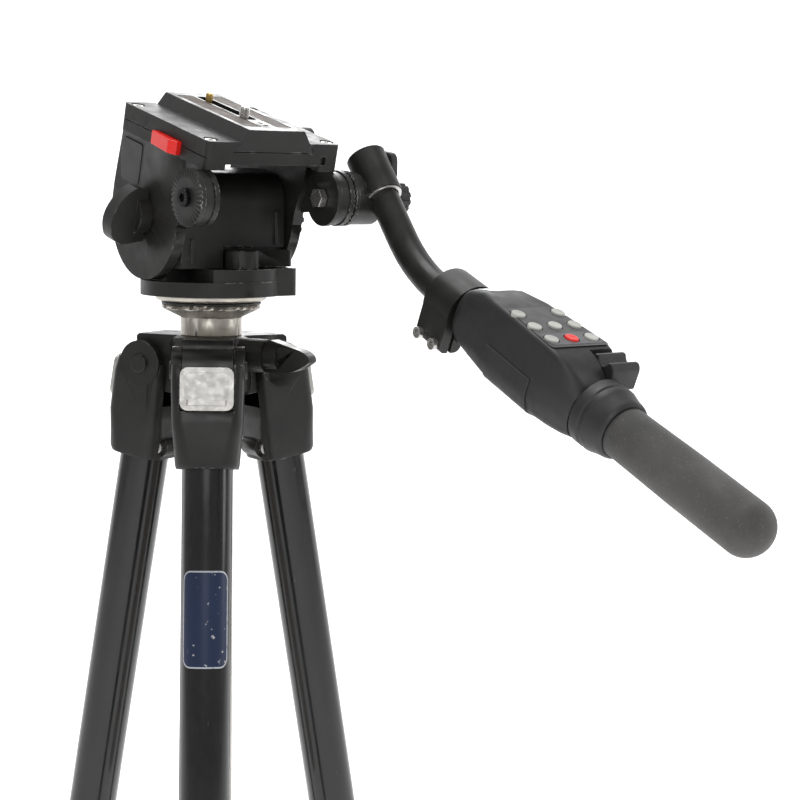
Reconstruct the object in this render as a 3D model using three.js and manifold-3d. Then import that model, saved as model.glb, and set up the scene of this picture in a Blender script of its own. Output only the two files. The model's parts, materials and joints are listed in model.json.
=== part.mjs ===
// A camera tripod with a fluid video head, a cranked pan bar and a remote-control grip.
// Millimetres, +Z up, the lens looks along +Y and the pan bar comes back along -Y.
// Heights are worked out from the plane where the head sits on the column (z = 0 while building),
// and the last lines drop the whole group so that the feet stand on z = 0 of the part's own frame.
import * as THREE from "three";
import { mergeVertices } from "three/addons/utils/BufferGeometryUtils.js";
import Module from "manifold-3d";

const wasm = await Module();
wasm.setup();

// ---- driving dimensions ------------------------------------------------------------------
const GAP = 0.35; // clearance between separate pieces
const DEG = Math.PI / 180;
const DETAIL = 0.52; // share of the nominal number of sides that round shapes get

// column and shoulder
const COLUMN_R = 13.5;
const NECK_WALL = 4.9; // the head's neck round the top of the column tube
const COLUMN_LENGTH = 330;
const DISC_R = 30;
const DISC_EDGE = 4.5;
const DISC_TO_NECK = 9.5;
const COLLAR_TOP = -20.5;
const SHOULDER_H = 36;
const HUB_WALL = 11; // shoulder metal round the column
const LEG_AZIMUTHS = [-34.05, 85.95, -154.05];

// legs
const PIVOT_OUT = 13.5; // from the hub's skin out to a leg's pin
const PIVOT_Z = -38.5;
const PIVOT_PIN_R = 4;
const SPLAY = 10;
const EAR_T = 6;
const EAR_R = 14;
const NOSE_R = 14.3;
const YOKE_DROP = 58;
const TUBE_R = 14.8; // the widest leg section
const TUBE_WALL = 1.5;
const TUBE_SLIP = 0.9; // room between one section and the next
const TUBE_SIDES = 32; // the same round tubes and bores, so that their flats line up
const UPPER_LENGTH = 505;
const SECTION_SHOW = 30;
const CLAMP_H = 44;
const CLAMP_WALL = 4;
const FOOT_R = 14;
const FOOT_H = 26;
const TAB_W = 31;
const TAB_IN = 15; // from the pivot out to the window that the tab slides in
const TAB_H = 25;

// head
const RING_R = 33.5;
const RING_H = 3.6;
const BASE_BOTTOM = 4;
const BASE_LOW_TOP = 12.8;
const BASE_TOP = 20.5;
const CHEEK_GAP = 71.6; // across the fixed housing
const TILT_Y = 6;
const TILT_Z = 52;
const TILT_REST = 14.2;
const SIDE_T = 6.6;
const SIDE_R = 38.5;
const AXLE_R = 9;
const PLATFORM_FRONT = -63;
const PLATFORM_BACK = 35.5;
const PLATFORM_TOP = 59.2;
const PLATFORM_T = 16.4;
const PLATE_TOP = 66.4;
const PLATE_TOP_W = 38.6;
const PLATE_LENGTH = 96;
const PLATE_FRONT = -62.8;
const DOVETAIL_DEPTH = 5.6;
const DOVETAIL_SLOPE = 0.62;
const ROSETTE_R = 16.5;
const ROSETTE_Y = -59.6;
const ROSETTE_Z = 26.2;
const ROSETTE_L = 12.5;
const HANDLE_BOLT_R = 3;
const PIN_PRESS = 4; // travel of the sprung video pin

// pan bar and remote control, in the upright plane at HANDLE_X
const BAR_R = 9;
const SOCKET_WALL = 3;
const BAR_DROP = 51.8;
const GRIP_DROP = 22.9;
const BAR_UPPER_L = 62.85; // from beside the bolt to the corner where the two straight stretches would meet
const BOLT_ROOM = 0.632; // between the bar and the bolt that passes under it
const BAR_BEND_R = 95;
const RING_FROM_CORNER = 37.99;
const RING_CLAMP_WALL = 8.5;
const RING_CLAMP_L = 24;
const HOUSING_L = 110;
const GRIP_R0 = 14.2;
const GRIP_R1 = 15;
const GRIP_L = 108;
const BUTTON_PITCH = 14.2;
const BUTTON_R = 4.1;
const RELEASE_LOW = 44;
const RELEASE_HIGH = 52;

// ---- sizes that follow from those above ------------------------------------------------------
const NECK_R = COLUMN_R + NECK_WALL;
const HUB_R = COLUMN_R + HUB_WALL;
const PIVOT_R = HUB_R + PIVOT_OUT;
const TUBE_RADII = [0, 1, 2].map((i) => TUBE_R - i * (TUBE_WALL + TUBE_SLIP));
const ARM_W = 2 * TUBE_R;
const EAR_X = ARM_W / 2 + GAP;
const SIDE_IN = CHEEK_GAP / 2 + 1;
const SIDE_OUT = SIDE_IN + SIDE_T;
const PLATFORM_W = 2 * (SIDE_OUT + 1.6);
const ROSETTE_OUT = SIDE_OUT + 9.6;
const BASE_R = SIDE_OUT - 0.9;
const SOCKET_R = BAR_R + SOCKET_WALL;
const RING_CLAMP_R = BAR_R + RING_CLAMP_WALL;
const HANDLE_X = ROSETTE_OUT + SOCKET_R + 9;

// ---- solids ------------------------------------------------------------------------------
function solid(geometry) {
  const g = geometry.index ? geometry.toNonIndexed() : geometry.clone();
  g.deleteAttribute("normal");
  g.deleteAttribute("uv");
  const m = mergeVertices(g, 1e-4);
  return new wasm.Manifold(
    new wasm.Mesh({
      numProp: 3,
      vertProperties: new Float32Array(m.attributes.position.array),
      triVerts: new Uint32Array(m.index.array),
    }),
  );
}

function geometryOf(s) {
  const m = s.getMesh();
  const xyz = new Float32Array(m.numVert * 3);
  for (let i = 0; i < m.numVert; i++) {
    xyz.set(m.vertProperties.subarray(i * m.numProp, i * m.numProp + 3), i * 3);
  }
  const g = new THREE.BufferGeometry();
  g.setAttribute("position", new THREE.BufferAttribute(xyz, 3));
  g.setIndex(new THREE.BufferAttribute(new Uint32Array(m.triVerts), 1));
  const flat = g.toNonIndexed();
  flat.computeVertexNormals();
  return flat;
}

function sidesFor(nominal) {
  return Math.max(8, 2 * Math.round((nominal * DETAIL) / 2));
}

function box(x0, x1, y0, y1, z0, z1) {
  const g = new THREE.BoxGeometry(x1 - x0, y1 - y0, z1 - z0);
  g.translate((x0 + x1) / 2, (y0 + y1) / 2, (z0 + z1) / 2);
  return solid(g);
}

// A cylinder or cone along "x", "y" or "z", from one coordinate to another.
function rod(axis, from, to, radius, sides = 32, at = [0, 0], radiusTo = radius) {
  const g = new THREE.CylinderGeometry(radiusTo, radius, to - from, sidesFor(sides));
  g.translate(0, (from + to) / 2, 0);
  if (axis === "z") g.rotateX(Math.PI / 2).translate(at[0], at[1], 0);
  if (axis === "x") g.rotateZ(-Math.PI / 2).translate(0, at[0], at[1]);
  if (axis === "y") g.translate(at[0], 0, at[1]);
  return solid(g);
}

// A turned shape about z: points are [radius, z] from the lowest to the highest, on the axis at both ends.
function turned(points, sides = 32) {
  const g = new THREE.LatheGeometry(points.map(([r, z]) => new THREE.Vector2(r, z)), sidesFor(sides));
  g.rotateX(Math.PI / 2);
  return solid(g);
}

// A plate with the given outline: in x-y lifted along z, in y-z lifted along x, or in x-z lifted along y.
function plate(plane, shape, from, to, curveSegments = 8) {
  const g = new THREE.ExtrudeGeometry(shape, { depth: to - from, bevelEnabled: false, curveSegments });
  g.translate(0, 0, from);
  if (plane === "yz") g.applyMatrix4(new THREE.Matrix4().set(0, 0, 1, 0, 1, 0, 0, 0, 0, 1, 0, 0, 0, 0, 0, 1));
  if (plane === "xz") g.applyMatrix4(new THREE.Matrix4().set(1, 0, 0, 0, 0, 0, -1, 0, 0, 1, 0, 0, 0, 0, 0, 1));
  return solid(g);
}

function outline(points) {
  return new THREE.Shape(points.map(([a, b]) => new THREE.Vector2(a, b)));
}

// A rectangle with rounded corners between two corners.
function rounded(a0, b0, a1, b1, r) {
  const s = new THREE.Shape();
  s.moveTo(a0 + r, b0);
  s.lineTo(a1 - r, b0);
  s.absarc(a1 - r, b0 + r, r, -Math.PI / 2, 0);
  s.lineTo(a1, b1 - r);
  s.absarc(a1 - r, b1 - r, r, 0, Math.PI / 2);
  s.lineTo(a0 + r, b1);
  s.absarc(a0 + r, b1 - r, r, Math.PI / 2, Math.PI);
  s.lineTo(a0, b0 + r);
  s.absarc(a0 + r, b0 + r, r, Math.PI, Math.PI * 1.5);
  return s;
}

function union(...solids) {
  return solids.reduce((a, b) => a.add(b));
}

function cut(body, ...tools) {
  return tools.reduce((a, b) => a.subtract(b), body);
}

// A body lofted through closed rings of points that all have the same count.
function loft(rings) {
  const n = rings[0].length;
  const xyz = [];
  const faces = [];
  for (const ring of rings) for (const p of ring) xyz.push(...p);
  for (let k = 0; k + 1 < rings.length; k++) {
    for (let i = 0; i < n; i++) {
      const a = k * n + i;
      const b = k * n + ((i + 1) % n);
      faces.push(a, b, b + n, a, b + n, a + n);
    }
  }
  const last = (rings.length - 1) * n;
  for (let i = 1; i + 1 < n; i++) {
    faces.push(0, i + 1, i);
    faces.push(last, last + i, last + i + 1);
  }
  const g = new THREE.BufferGeometry();
  g.setAttribute("position", new THREE.BufferAttribute(new Float32Array(xyz), 3));
  g.setIndex(faces);
  return solid(g);
}

// ---- finishes ----------------------------------------------------------------------------
function finish(color, roughness, metalness) {
  return new THREE.MeshStandardMaterial({ color, roughness, metalness });
}
const PAINT = finish(0x1b1c1b, 0.45, 0.3);
const PLASTIC = finish(0x161616, 0.55, 0);
const TUBE = finish(0x0a0a0b, 0.18, 0.5);
const SILVER = finish(0xb9b9b4, 0.35, 0.9);
const STEEL = finish(0x8d8d8a, 0.3, 0.95);
const BRASS = finish(0xa98a4a, 0.35, 0.9);
const RED = finish(0xd0201a, 0.35, 0);
const RUBBER = finish(0x2a2a2a, 0.85, 0);
const KEY = finish(0xa9aaa7, 0.5, 0);

function add(group, name, s, material) {
  const mesh = new THREE.Mesh(geometryOf(s), material);
  mesh.name = name;
  group.add(mesh);
  return mesh;
}

function groupAt(parent, name, x = 0, y = 0, z = 0) {
  const g = new THREE.Group();
  g.name = name;
  g.position.set(x, y, z);
  parent.add(g);
  return g;
}

const tripod = new THREE.Group();
tripod.name = "tripod";

// ---- shoulder and column ---------------------------------------------------------------
// The direction a leg goes out in, as a unit vector.
function legDirection(azimuth) {
  return [Math.sin(azimuth * DEG), -Math.cos(azimuth * DEG)];
}

// The column lock clamps from between two legs.
const LOCK_AZIMUTH = (LEG_AZIMUTHS[0] + LEG_AZIMUTHS[1]) / 2;
const LOCK_Z = COLLAR_TOP - 11;
const LOCK_BOSS = 40;

function shoulderSolid() {
  const bottom = COLLAR_TOP - SHOULDER_H;
  let body = turned([
    [0, bottom],
    [HUB_R - 3, bottom],
    [HUB_R, bottom + 3],
    [HUB_R, COLLAR_TOP - 4],
    [HUB_R - 4, COLLAR_TOP],
    [0, COLLAR_TOP],
  ]);
  for (const azimuth of LEG_AZIMUTHS) {
    // the arm that carries the leg's pin, with a rounded nose around it; the pin turns in the yoke's ears
    const arm = new THREE.Shape();
    arm.moveTo(0, COLLAR_TOP);
    arm.lineTo(-PIVOT_R - 4, COLLAR_TOP);
    arm.lineTo(-PIVOT_R - 6, COLLAR_TOP - 1.5);
    arm.absarc(-PIVOT_R, PIVOT_Z, NOSE_R, Math.PI * 0.64, Math.PI * 1.35, false);
    arm.lineTo(-HUB_R * 0.7, bottom);
    arm.lineTo(0, bottom);
    const pinHalf = EAR_X + EAR_T;
    const made = union(
      plate("yz", arm, -ARM_W / 2, ARM_W / 2, 7),
      rod("x", -pinHalf, pinHalf, PIVOT_PIN_R, 16, [-PIVOT_R, PIVOT_Z]),
    );
    body = body.add(made.rotate([0, 0, azimuth]));
  }
  const boss = rod("y", -LOCK_BOSS, 0, 10, 20, [0, LOCK_Z]).rotate([0, 0, LOCK_AZIMUTH]);
  const bore = rod("z", bottom - 1, COLLAR_TOP + 1, COLUMN_R + GAP, 40);
  const stud = rod("y", -LOCK_BOSS - 1, 0, 4 + GAP, 16, [0, LOCK_Z]).rotate([0, 0, LOCK_AZIMUTH]);
  return cut(body.add(boss), bore, stud);
}

add(tripod, "shoulder", shoulderSolid(), PAINT);

// a pointed wing on a short stud; it turns about the stud
const LOCK_LEVER_L = 30;
function lockLeverSolid() {
  const wing = new THREE.Shape();
  wing.moveTo(0, -9);
  wing.quadraticCurveTo(-LOCK_LEVER_L * 0.6, -12, -LOCK_LEVER_L, -2);
  wing.quadraticCurveTo(-LOCK_LEVER_L - 1, 3, -LOCK_LEVER_L * 0.7, 5.5);
  wing.lineTo(-4, 10);
  wing.lineTo(0, 9);
  const hub = rod("y", -9, 0, 8.5, 20);
  return union(plate("yz", wing, -4.5, 4.5, 5), hub, rod("y", -1, 12, 4, 16));
}
const [lockX, lockY] = legDirection(LOCK_AZIMUTH);
const lockGroup = groupAt(tripod, "column_lock", lockX * (LOCK_BOSS + GAP), lockY * (LOCK_BOSS + GAP), LOCK_Z);
lockGroup.rotation.z = LOCK_AZIMUTH * DEG;
add(lockGroup, "column_lock_lever", lockLeverSolid(), PAINT);

const column = groupAt(tripod, "column");
const NECK_ROOF = DISC_TO_NECK - 1.9; // how far below the disc the neck's bore ends
const COLUMN_TOP = -NECK_ROOF - GAP;
const STUD_R = 4.7;
const STUD_TOP = 15;
const STUD_HEAD = 6;
add(
  column,
  "column_tube",
  cut(
    rod("z", COLUMN_TOP - COLUMN_LENGTH, COLUMN_TOP, COLUMN_R, 40),
    rod("z", COLUMN_TOP - COLUMN_LENGTH - 1, COLUMN_TOP + 1, COLUMN_R - 2, 32),
  ),
  SILVER,
);
add(
  column,
  "column_top",
  cut(
    turned([
      [0, COLLAR_TOP + GAP],
      [NECK_R, COLLAR_TOP + GAP],
      [NECK_R, -DISC_TO_NECK],
      [DISC_R - 1, -DISC_EDGE],
      [DISC_R, -DISC_EDGE + 1],
      [DISC_R, -GAP],
      [0, -GAP],
    ], 40),
    rod("z", COLLAR_TOP - 1, -NECK_ROOF, COLUMN_R + GAP, 40),
    rod("z", COLLAR_TOP, 1, STUD_R + GAP, 20),
  ),
  SILVER,
);
add(
  column,
  "head_stud",
  union(
    rod("z", COLUMN_TOP - STUD_HEAD, STUD_TOP, STUD_R, 20),
    rod("z", COLUMN_TOP - STUD_HEAD, COLUMN_TOP, 8, 6),
  ),
  STEEL,
);

// ---- legs --------------------------------------------------------------------------------
// Built pointing straight down from the pivot, outward side at -y, then swung out and round.
const YOKE_R = TUBE_RADII[0] + 3.7;
const TUBE_TOP = -26;

function yokeSolid() {
  const w = EAR_X + EAR_T;
  // a collar round the tube that widens upwards into the two ears
  const ring = (z, halfW, front, back, r) => {
    const pts = [];
    const corners = [
      [halfW - r, -(front - r), -90],
      [halfW - r, back - r, 0],
      [-(halfW - r), back - r, 90],
      [-(halfW - r), -(front - r), 180],
    ];
    for (const [cx, cy, a0] of corners) {
      for (let k = 0; k <= 4; k++) {
        const a = (a0 + k * 22.5) * DEG;
        pts.push([cx + r * Math.cos(a), cy + r * Math.sin(a), z]);
      }
    }
    return pts;
  };
  let body = loft([
    ring(-YOKE_DROP, YOKE_R, YOKE_R - 0.5, YOKE_R - 0.5, 11),
    ring(-YOKE_DROP + 3, YOKE_R + 0.2, YOKE_R, YOKE_R - 0.5, 10),
    ring(-TAB_H - 7, w - 0.6, YOKE_R + 1.2, YOKE_R - 1, 7),
    ring(-8, w, YOKE_R + 1, YOKE_R - 2, 6),
    ring(2, w, YOKE_R - 1, YOKE_R - 3, 5),
  ]);
  const ear = rod("x", -w, w, EAR_R, 24);
  body = body.add(ear);
  const slot = box(-EAR_X, EAR_X, -40, 40, -24, 30);
  const bore = rod("z", -YOKE_DROP - 1, TUBE_TOP + 2, TUBE_RADII[0] + GAP, TUBE_SIDES);
  const window = box(-TAB_W / 2 - GAP, TAB_W / 2 + GAP, -YOKE_R - 5, -TAB_IN, -TAB_H - GAP, 20);
  const pinHole = rod("x", -w - 1, w + 1, PIVOT_PIN_R + GAP, 16);
  return cut(body, slot, bore, window, pinHole);
}

// The tab is pulled outwards to let the leg spread wider.
function tabSolid() {
  const face = plate("xz", rounded(-TAB_W / 2, -TAB_H, TAB_W / 2, 0, 4.5), TAB_IN + GAP, YOKE_R + 3.6, 3);
  return face.add(box(-TAB_W / 2 + 4, TAB_W / 2 - 4, -YOKE_R - 4.6, -YOKE_R - 3, -TAB_H + 3, -TAB_H + 6));
}

const LEVER_PIN_R = 1.45;
const LEVER_PIN_HALF = 8.6;

// A collar clamp on the end of one section, which the next section slides through.
function sectionSolid(length, radius, innerRadius, top) {
  const bottom = top - length;
  const collarR = radius + CLAMP_WALL;
  const collar = turned([
    [0, bottom],
    [collarR - 1.5, bottom],
    [collarR, bottom + 2],
    [collarR, bottom + CLAMP_H - 3],
    [radius + 0.8, bottom + CLAMP_H],
    [0, bottom + CLAMP_H],
  ], 24);
  const lugs = plate("xy", rounded(-9, -collarR - 9, 9, -collarR + 6, 2.5), bottom + 5, bottom + CLAMP_H - 8, 2);
  const tube = rod("z", bottom + 10, top, radius, TUBE_SIDES);
  const bore = rod("z", bottom - 1, top + 1, innerRadius + GAP, TUBE_SIDES);
  const hollow = rod("z", bottom + CLAMP_H + 4, top + 1, radius - TUBE_WALL, TUBE_SIDES);
  const leverSlot = box(-4.4, 4.4, -collarR - 20, -collarR + 0.6, bottom + 4, bottom + CLAMP_H - 7);
  const pin = rod("x", -20, 20, LEVER_PIN_R + GAP, 12, [-collarR - 5, bottom + CLAMP_H - 16]);
  return cut(union(collar, lugs, tube), bore, hollow, leverSlot, pin);
}

// The flip lever of a collar, hanging shut along the tube.
function leverSolid(width) {
  const side = new THREE.Shape();
  side.absarc(0, 0, 4.6, 0, Math.PI, false);
  side.lineTo(-6.2, -12);
  side.lineTo(-4.2, -25);
  side.lineTo(-1.2, -25);
  side.lineTo(-1.4, -8);
  side.lineTo(3.4, -5);
  side.closePath();
  return union(plate("yz", side, -width / 2, width / 2, 5), rod("x", -LEVER_PIN_HALF, LEVER_PIN_HALF, LEVER_PIN_R, 12));
}

const legEnd = TUBE_TOP - UPPER_LENGTH;
const midEnd = legEnd - SECTION_SHOW - CLAMP_H;
const lowEnd = midEnd - SECTION_SHOW;
const legs = "abc";
LEG_AZIMUTHS.forEach((azimuth, i) => {
  const id = legs[i];
  const [dx, dy] = legDirection(azimuth);
  const leg = groupAt(tripod, "leg_" + id, dx * PIVOT_R, dy * PIVOT_R, PIVOT_Z);
  leg.rotation.order = "ZYX";
  leg.rotation.set(-SPLAY * DEG, 0, azimuth * DEG);
  add(leg, "yoke_" + id, yokeSolid(), PAINT);
  add(leg, "angle_tab_" + id, tabSolid(), SILVER);
  const upper = groupAt(leg, "upper_" + id);
  add(upper, "upper_tube_" + id, sectionSolid(UPPER_LENGTH, TUBE_RADII[0], TUBE_RADII[1], TUBE_TOP), TUBE);
  const upperLever = groupAt(leg, "upper_lever_joint_" + id, 0, -(TUBE_RADII[0] + CLAMP_WALL + 5), legEnd + CLAMP_H - 16);
  add(upperLever, "upper_lever_" + id, leverSolid(8), PLASTIC);
  add(leg, "mid_tube_" + id, sectionSolid(UPPER_LENGTH - 30, TUBE_RADII[1], TUBE_RADII[2], midEnd + UPPER_LENGTH - 30), TUBE);
  const lowerLever = groupAt(leg, "lower_lever_joint_" + id, 0, -(TUBE_RADII[1] + CLAMP_WALL + 5), midEnd + CLAMP_H - 16);
  add(lowerLever, "lower_lever_" + id, leverSolid(8), PLASTIC);
  add(
    leg,
    "lower_tube_" + id,
    cut(
      rod("z", lowEnd, lowEnd + UPPER_LENGTH - 60, TUBE_RADII[2], TUBE_SIDES),
      rod("z", lowEnd - 1, lowEnd + UPPER_LENGTH, TUBE_RADII[2] - TUBE_WALL, TUBE_SIDES),
    ),
    TUBE,
  );
  // the rubber foot: its spigot plugs the tube, its sole is cut level for the leg's rest angle
  const foot = turned([
    [0, lowEnd - FOOT_H],
    [FOOT_R - 3, lowEnd - FOOT_H],
    [FOOT_R, lowEnd - FOOT_H + 4],
    [FOOT_R - 1, lowEnd - 8],
    [TUBE_RADII[2], lowEnd - GAP],
    [TUBE_RADII[2] - TUBE_WALL - GAP, lowEnd - GAP],
    [TUBE_RADII[2] - TUBE_WALL - GAP, lowEnd + 16],
    [0, lowEnd + 16],
  ], TUBE_SIDES);
  const sole = box(-60, 60, -60, 60, -60, 0).rotate([SPLAY, 0, 0]).translate([0, 0, lowEnd - FOOT_H + 3.2]);
  add(leg, "foot_" + id, cut(foot, sole), RUBBER);
});

// ---- head: the part that pans ------------------------------------------------------------
const pan = groupAt(tripod, "pan");
add(
  column,
  "swivel_plate",
  cut(
    turned([
      [0, GAP],
      [RING_R - 2.2, GAP],
      [RING_R - 0.7, 1.2],
      [RING_R, 2.6],
      [RING_R, RING_H],
      [0, RING_H],
    ], 40),
    rod("z", -1, 10, STUD_R + GAP, 20),
  ),
  SILVER,
);

const LOCK_HUB = [2, -31];
const LOCK_HUB_R = 10;
const LOCK_ARM_L = CHEEK_GAP / 2 - LOCK_HUB[0]; // as far as the housing's side, short of the side plate

function panBaseSolid() {
  const low = rod("z", BASE_BOTTOM, BASE_LOW_TOP, BASE_R, 48);
  const corner = plate("xy", rounded(0, -34.5, BASE_R - 2.5, -19, 4), BASE_BOTTOM, BASE_TOP, 5);
  const inner = CHEEK_GAP / 2;
  const round = rod("z", BASE_BOTTOM, BASE_TOP, BASE_R - 0.6, 48);
  const high = round.intersect(box(-21, inner, -60, 60, 0, 40));
  const back = round.intersect(box(-inner, inner, -8, 60, 0, 40));
  const bore = rod("z", 0, STUD_TOP + 1.5, STUD_R + GAP, 20);
  const lockHole = rod("z", BASE_TOP - 8, 40, 3 + GAP, 12, LOCK_HUB);
  return cut(union(low, corner, high, back), bore, lockHole);
}
add(pan, "pan_base", panBaseSolid(), PAINT);

// the fixed housing that holds the tilt drag, with its round ends carried by the side plates
function tiltHousingSolid() {
  const half = CHEEK_GAP / 2;
  const block = new THREE.Shape();
  block.moveTo(-25, BASE_TOP + GAP);
  block.lineTo(34, BASE_TOP + GAP);
  block.lineTo(34, TILT_Z);
  block.absarc(TILT_Y, TILT_Z, 34 - TILT_Y, 0, Math.PI / 2, false);
  block.lineTo(-14, TILT_Z + 25);
  block.quadraticCurveTo(-24, TILT_Z + 20, -25, TILT_Z + 8);
  const body = plate("yz", block, -half, half);
  const pocket = rod("z", BASE_TOP - 1, BASE_TOP + 13, LOCK_HUB_R + 1.2, 32, LOCK_HUB);
  const armSlot = box(0, 60, -60, -21.5, BASE_TOP - 1, BASE_TOP + 12.5);
  const axle = rod("x", -half - SIDE_T - 6, half + SIDE_T + 6, AXLE_R, 28, [TILT_Y, TILT_Z]);
  const frontHollow = box(-half + 5, half - 5, -40, -21.8, TILT_Z - 16, TILT_Z + 30);
  return union(cut(body, pocket, armSlot, frontHollow), axle);
}
add(pan, "tilt_housing", tiltHousingSolid(), PAINT);

const panLock = groupAt(pan, "pan_lock", LOCK_HUB[0], LOCK_HUB[1], BASE_TOP + GAP);
add(
  panLock,
  "pan_lock_lever",
  union(
    turned([[0, 0], [LOCK_HUB_R, 0], [LOCK_HUB_R, 10.2], [LOCK_HUB_R - 1.4, 11.4], [0, 11.4]], 28),
    plate("xy", rounded(4, -5, LOCK_ARM_L, 4.5, 1.5), 0.8, 10.6, 3),
    rod("z", -7, 1, 3, 12),
  ),
  PAINT,
);

// ---- head: the part that tilts -----------------------------------------------------------
const tilt = groupAt(pan, "tilt", 0, TILT_Y, TILT_Z);
tilt.rotation.x = TILT_REST * DEG;
const platformBottom = PLATFORM_TOP - PLATFORM_T;
const PLATE_BOTTOM = PLATFORM_TOP - DOVETAIL_DEPTH;
const plateBottomHalf = PLATE_TOP_W / 2 + (PLATE_TOP - PLATE_BOTTOM) * DOVETAIL_SLOPE;

function dovetail(clear) {
  const rise = DOVETAIL_DEPTH + 3; // on past the platform's top
  const low = plateBottomHalf + clear;
  return outline([
    [-low, PLATE_BOTTOM - clear],
    [low, PLATE_BOTTOM - clear],
    [low - (rise + clear) * DOVETAIL_SLOPE, PLATE_BOTTOM + rise],
    [-low + (rise + clear) * DOVETAIL_SLOPE, PLATE_BOTTOM + rise],
  ]);
}

function rosetteTeeth(x, dir) {
  const teeth = [];
  const count = 12;
  for (let i = 0; i < count; i++) {
    const groove = box(-0.45, 0.45, 8.5, ROSETTE_R + 1, -0.7, 0.7);
    teeth.push(groove.rotate([(i * 360) / count, 0, 0]).translate([x - dir * 0.25, ROSETTE_Y, ROSETTE_Z]));
  }
  return teeth;
}

function platformSolid() {
  const half = PLATFORM_W / 2;
  const body = plate("xy", rounded(-half, PLATFORM_FRONT, half, PLATFORM_BACK, 3), platformBottom, PLATFORM_TOP, 3);
  const channel = plate("xz", dovetail(GAP), -80, 80);
  const under = box(-half + 13, half - 13, -80, 80, platformBottom - 1, platformBottom + 3.4);
  const frontNotch = box(-half + 22, half - 7, PLATFORM_FRONT - 1, PLATFORM_FRONT + 3.5, platformBottom + 4, PLATE_BOTTOM + 1);
  let made = cut(body, channel, under, frontNotch);
  for (const x of [-half + 5.4, half - 5.4]) {
    for (const y of [-56, 28]) {
      const seat = rod("z", PLATFORM_TOP - 2, PLATFORM_TOP + 1, 4.2, 16, [x, y]);
      const head = rod("z", PLATFORM_TOP - 2.5, PLATFORM_TOP - 0.6, 3.3, 12, [x, y]);
      made = made.subtract(seat).add(head);
    }
  }
  const buttonHole = box(-half - 1, -half + 9, -34.5, -5.5, RELEASE_LOW - GAP, RELEASE_HIGH + GAP);
  const knobHole = rod("x", 26, half + 1, 3 + GAP, 12, [-12, 50]);
  return cut(made, buttonHole, knobHole);
}
add(tilt, "platform", platformSolid(), PAINT);

// A teardrop side: a round end about the tilt axis that grows up to the platform and forward to the rosette.
function sideSolid(dir) {
  const top = platformBottom - GAP;
  const s = new THREE.Shape();
  s.moveTo(-44, top);
  s.lineTo(-43, 26);
  s.quadraticCurveTo(-38, 18, -SIDE_R, 4);
  s.absarc(0, 0, SIDE_R, Math.PI - 0.1, Math.PI * 2 - 0.02, false);
  s.lineTo(PLATFORM_BACK + 3, 10);
  s.lineTo(PLATFORM_BACK, top);
  const face = plate("yz", s, SIDE_IN, SIDE_OUT);
  const lug = new THREE.Shape();
  lug.absarc(ROSETTE_Y, ROSETTE_Z, ROSETTE_R, Math.PI * 0.42, Math.PI * 1.75, false);
  lug.lineTo(-40, 12);
  lug.lineTo(-40, top);
  lug.lineTo(ROSETTE_Y + 3, top);
  const arm = plate("yz", lug, ROSETTE_OUT - ROSETTE_L, SIDE_OUT, 10);
  const boss = rod("x", ROSETTE_OUT - ROSETTE_L, ROSETTE_OUT - 3.4, ROSETTE_R - 0.8, 32, [ROSETTE_Y, ROSETTE_Z]);
  const rim = rod("x", ROSETTE_OUT - 3.6, ROSETTE_OUT, ROSETTE_R, 36, [ROSETTE_Y, ROSETTE_Z]);
  const boltHole = rod("x", 0, 90, HANDLE_BOLT_R + GAP, 16, [ROSETTE_Y, ROSETTE_Z]);
  const axleHole = rod("x", 0, 90, AXLE_R + GAP, 28);
  const face1 = cut(union(face, arm, boss, rim), boltHole, axleHole, ...rosetteTeeth(ROSETTE_OUT, 1));
  return dir > 0 ? face1 : face1.mirror([1, 0, 0]);
}
add(tilt, "side_plate_right", sideSolid(1), PAINT);
add(tilt, "side_plate_left", sideSolid(-1), PAINT);

// tilt lock: a hub on the axle's left end with an upright wing that leans outwards
function tiltLockSolid() {
  const hub = rod("x", -SIDE_OUT - 8, -SIDE_OUT - GAP, 11.5, 28);
  const wing = new THREE.Shape();
  wing.moveTo(-SIDE_OUT - 1.2, 15);
  wing.lineTo(-SIDE_OUT - 9, 17);
  wing.quadraticCurveTo(-SIDE_OUT - 16, 14, -SIDE_OUT - 21, 5);
  wing.quadraticCurveTo(-SIDE_OUT - 26, -4, -SIDE_OUT - 22, -13);
  wing.quadraticCurveTo(-SIDE_OUT - 17, -19, -SIDE_OUT - 8, -16);
  wing.lineTo(-SIDE_OUT - 1.2, -15);
  const blade = plate("xz", wing, -5.5, 5.5, 6);
  const recess = rod("x", -SIDE_OUT - 7, 0, AXLE_R + GAP, 28);
  return cut(union(hub, blade), recess);
}
const tiltLock = groupAt(tilt, "tilt_lock");
add(tiltLock, "tilt_lock_lever", tiltLockSolid(), PAINT);

const dragKnob = groupAt(pan, "tilt_drag", 0, TILT_Y, TILT_Z);
add(
  dragKnob,
  "tilt_drag_knob",
  cut(
    rod("x", SIDE_OUT + 1, SIDE_OUT + 16, 18, 36),
    rod("x", SIDE_OUT - 1, SIDE_OUT + 7, AXLE_R + GAP, 28),
    ...[0, 1, 2, 3, 4, 5].map((i) =>
      rod("x", SIDE_OUT + 4, SIDE_OUT + 17, 3, 12, [0, 20]).rotate([i * 60, 0, 0]),
    ),
  ),
  PLASTIC,
);

const KNOB_Y = -12;
const KNOB_Z = 50;
const plateLock = groupAt(tilt, "plate_lock", 0, KNOB_Y, KNOB_Z);
add(
  plateLock,
  "plate_lock_knob",
  union(
    rod("x", PLATFORM_W / 2 + 0.6, PLATFORM_W / 2 + 13, 7.5, 20),
    rod("x", 30, PLATFORM_W / 2 + 1, 3, 12),
    plate("yz", rounded(-5, -4, 16, 4, 3.4), PLATFORM_W / 2 + 7, PLATFORM_W / 2 + 12, 5),
  ),
  PLASTIC,
);

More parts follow.
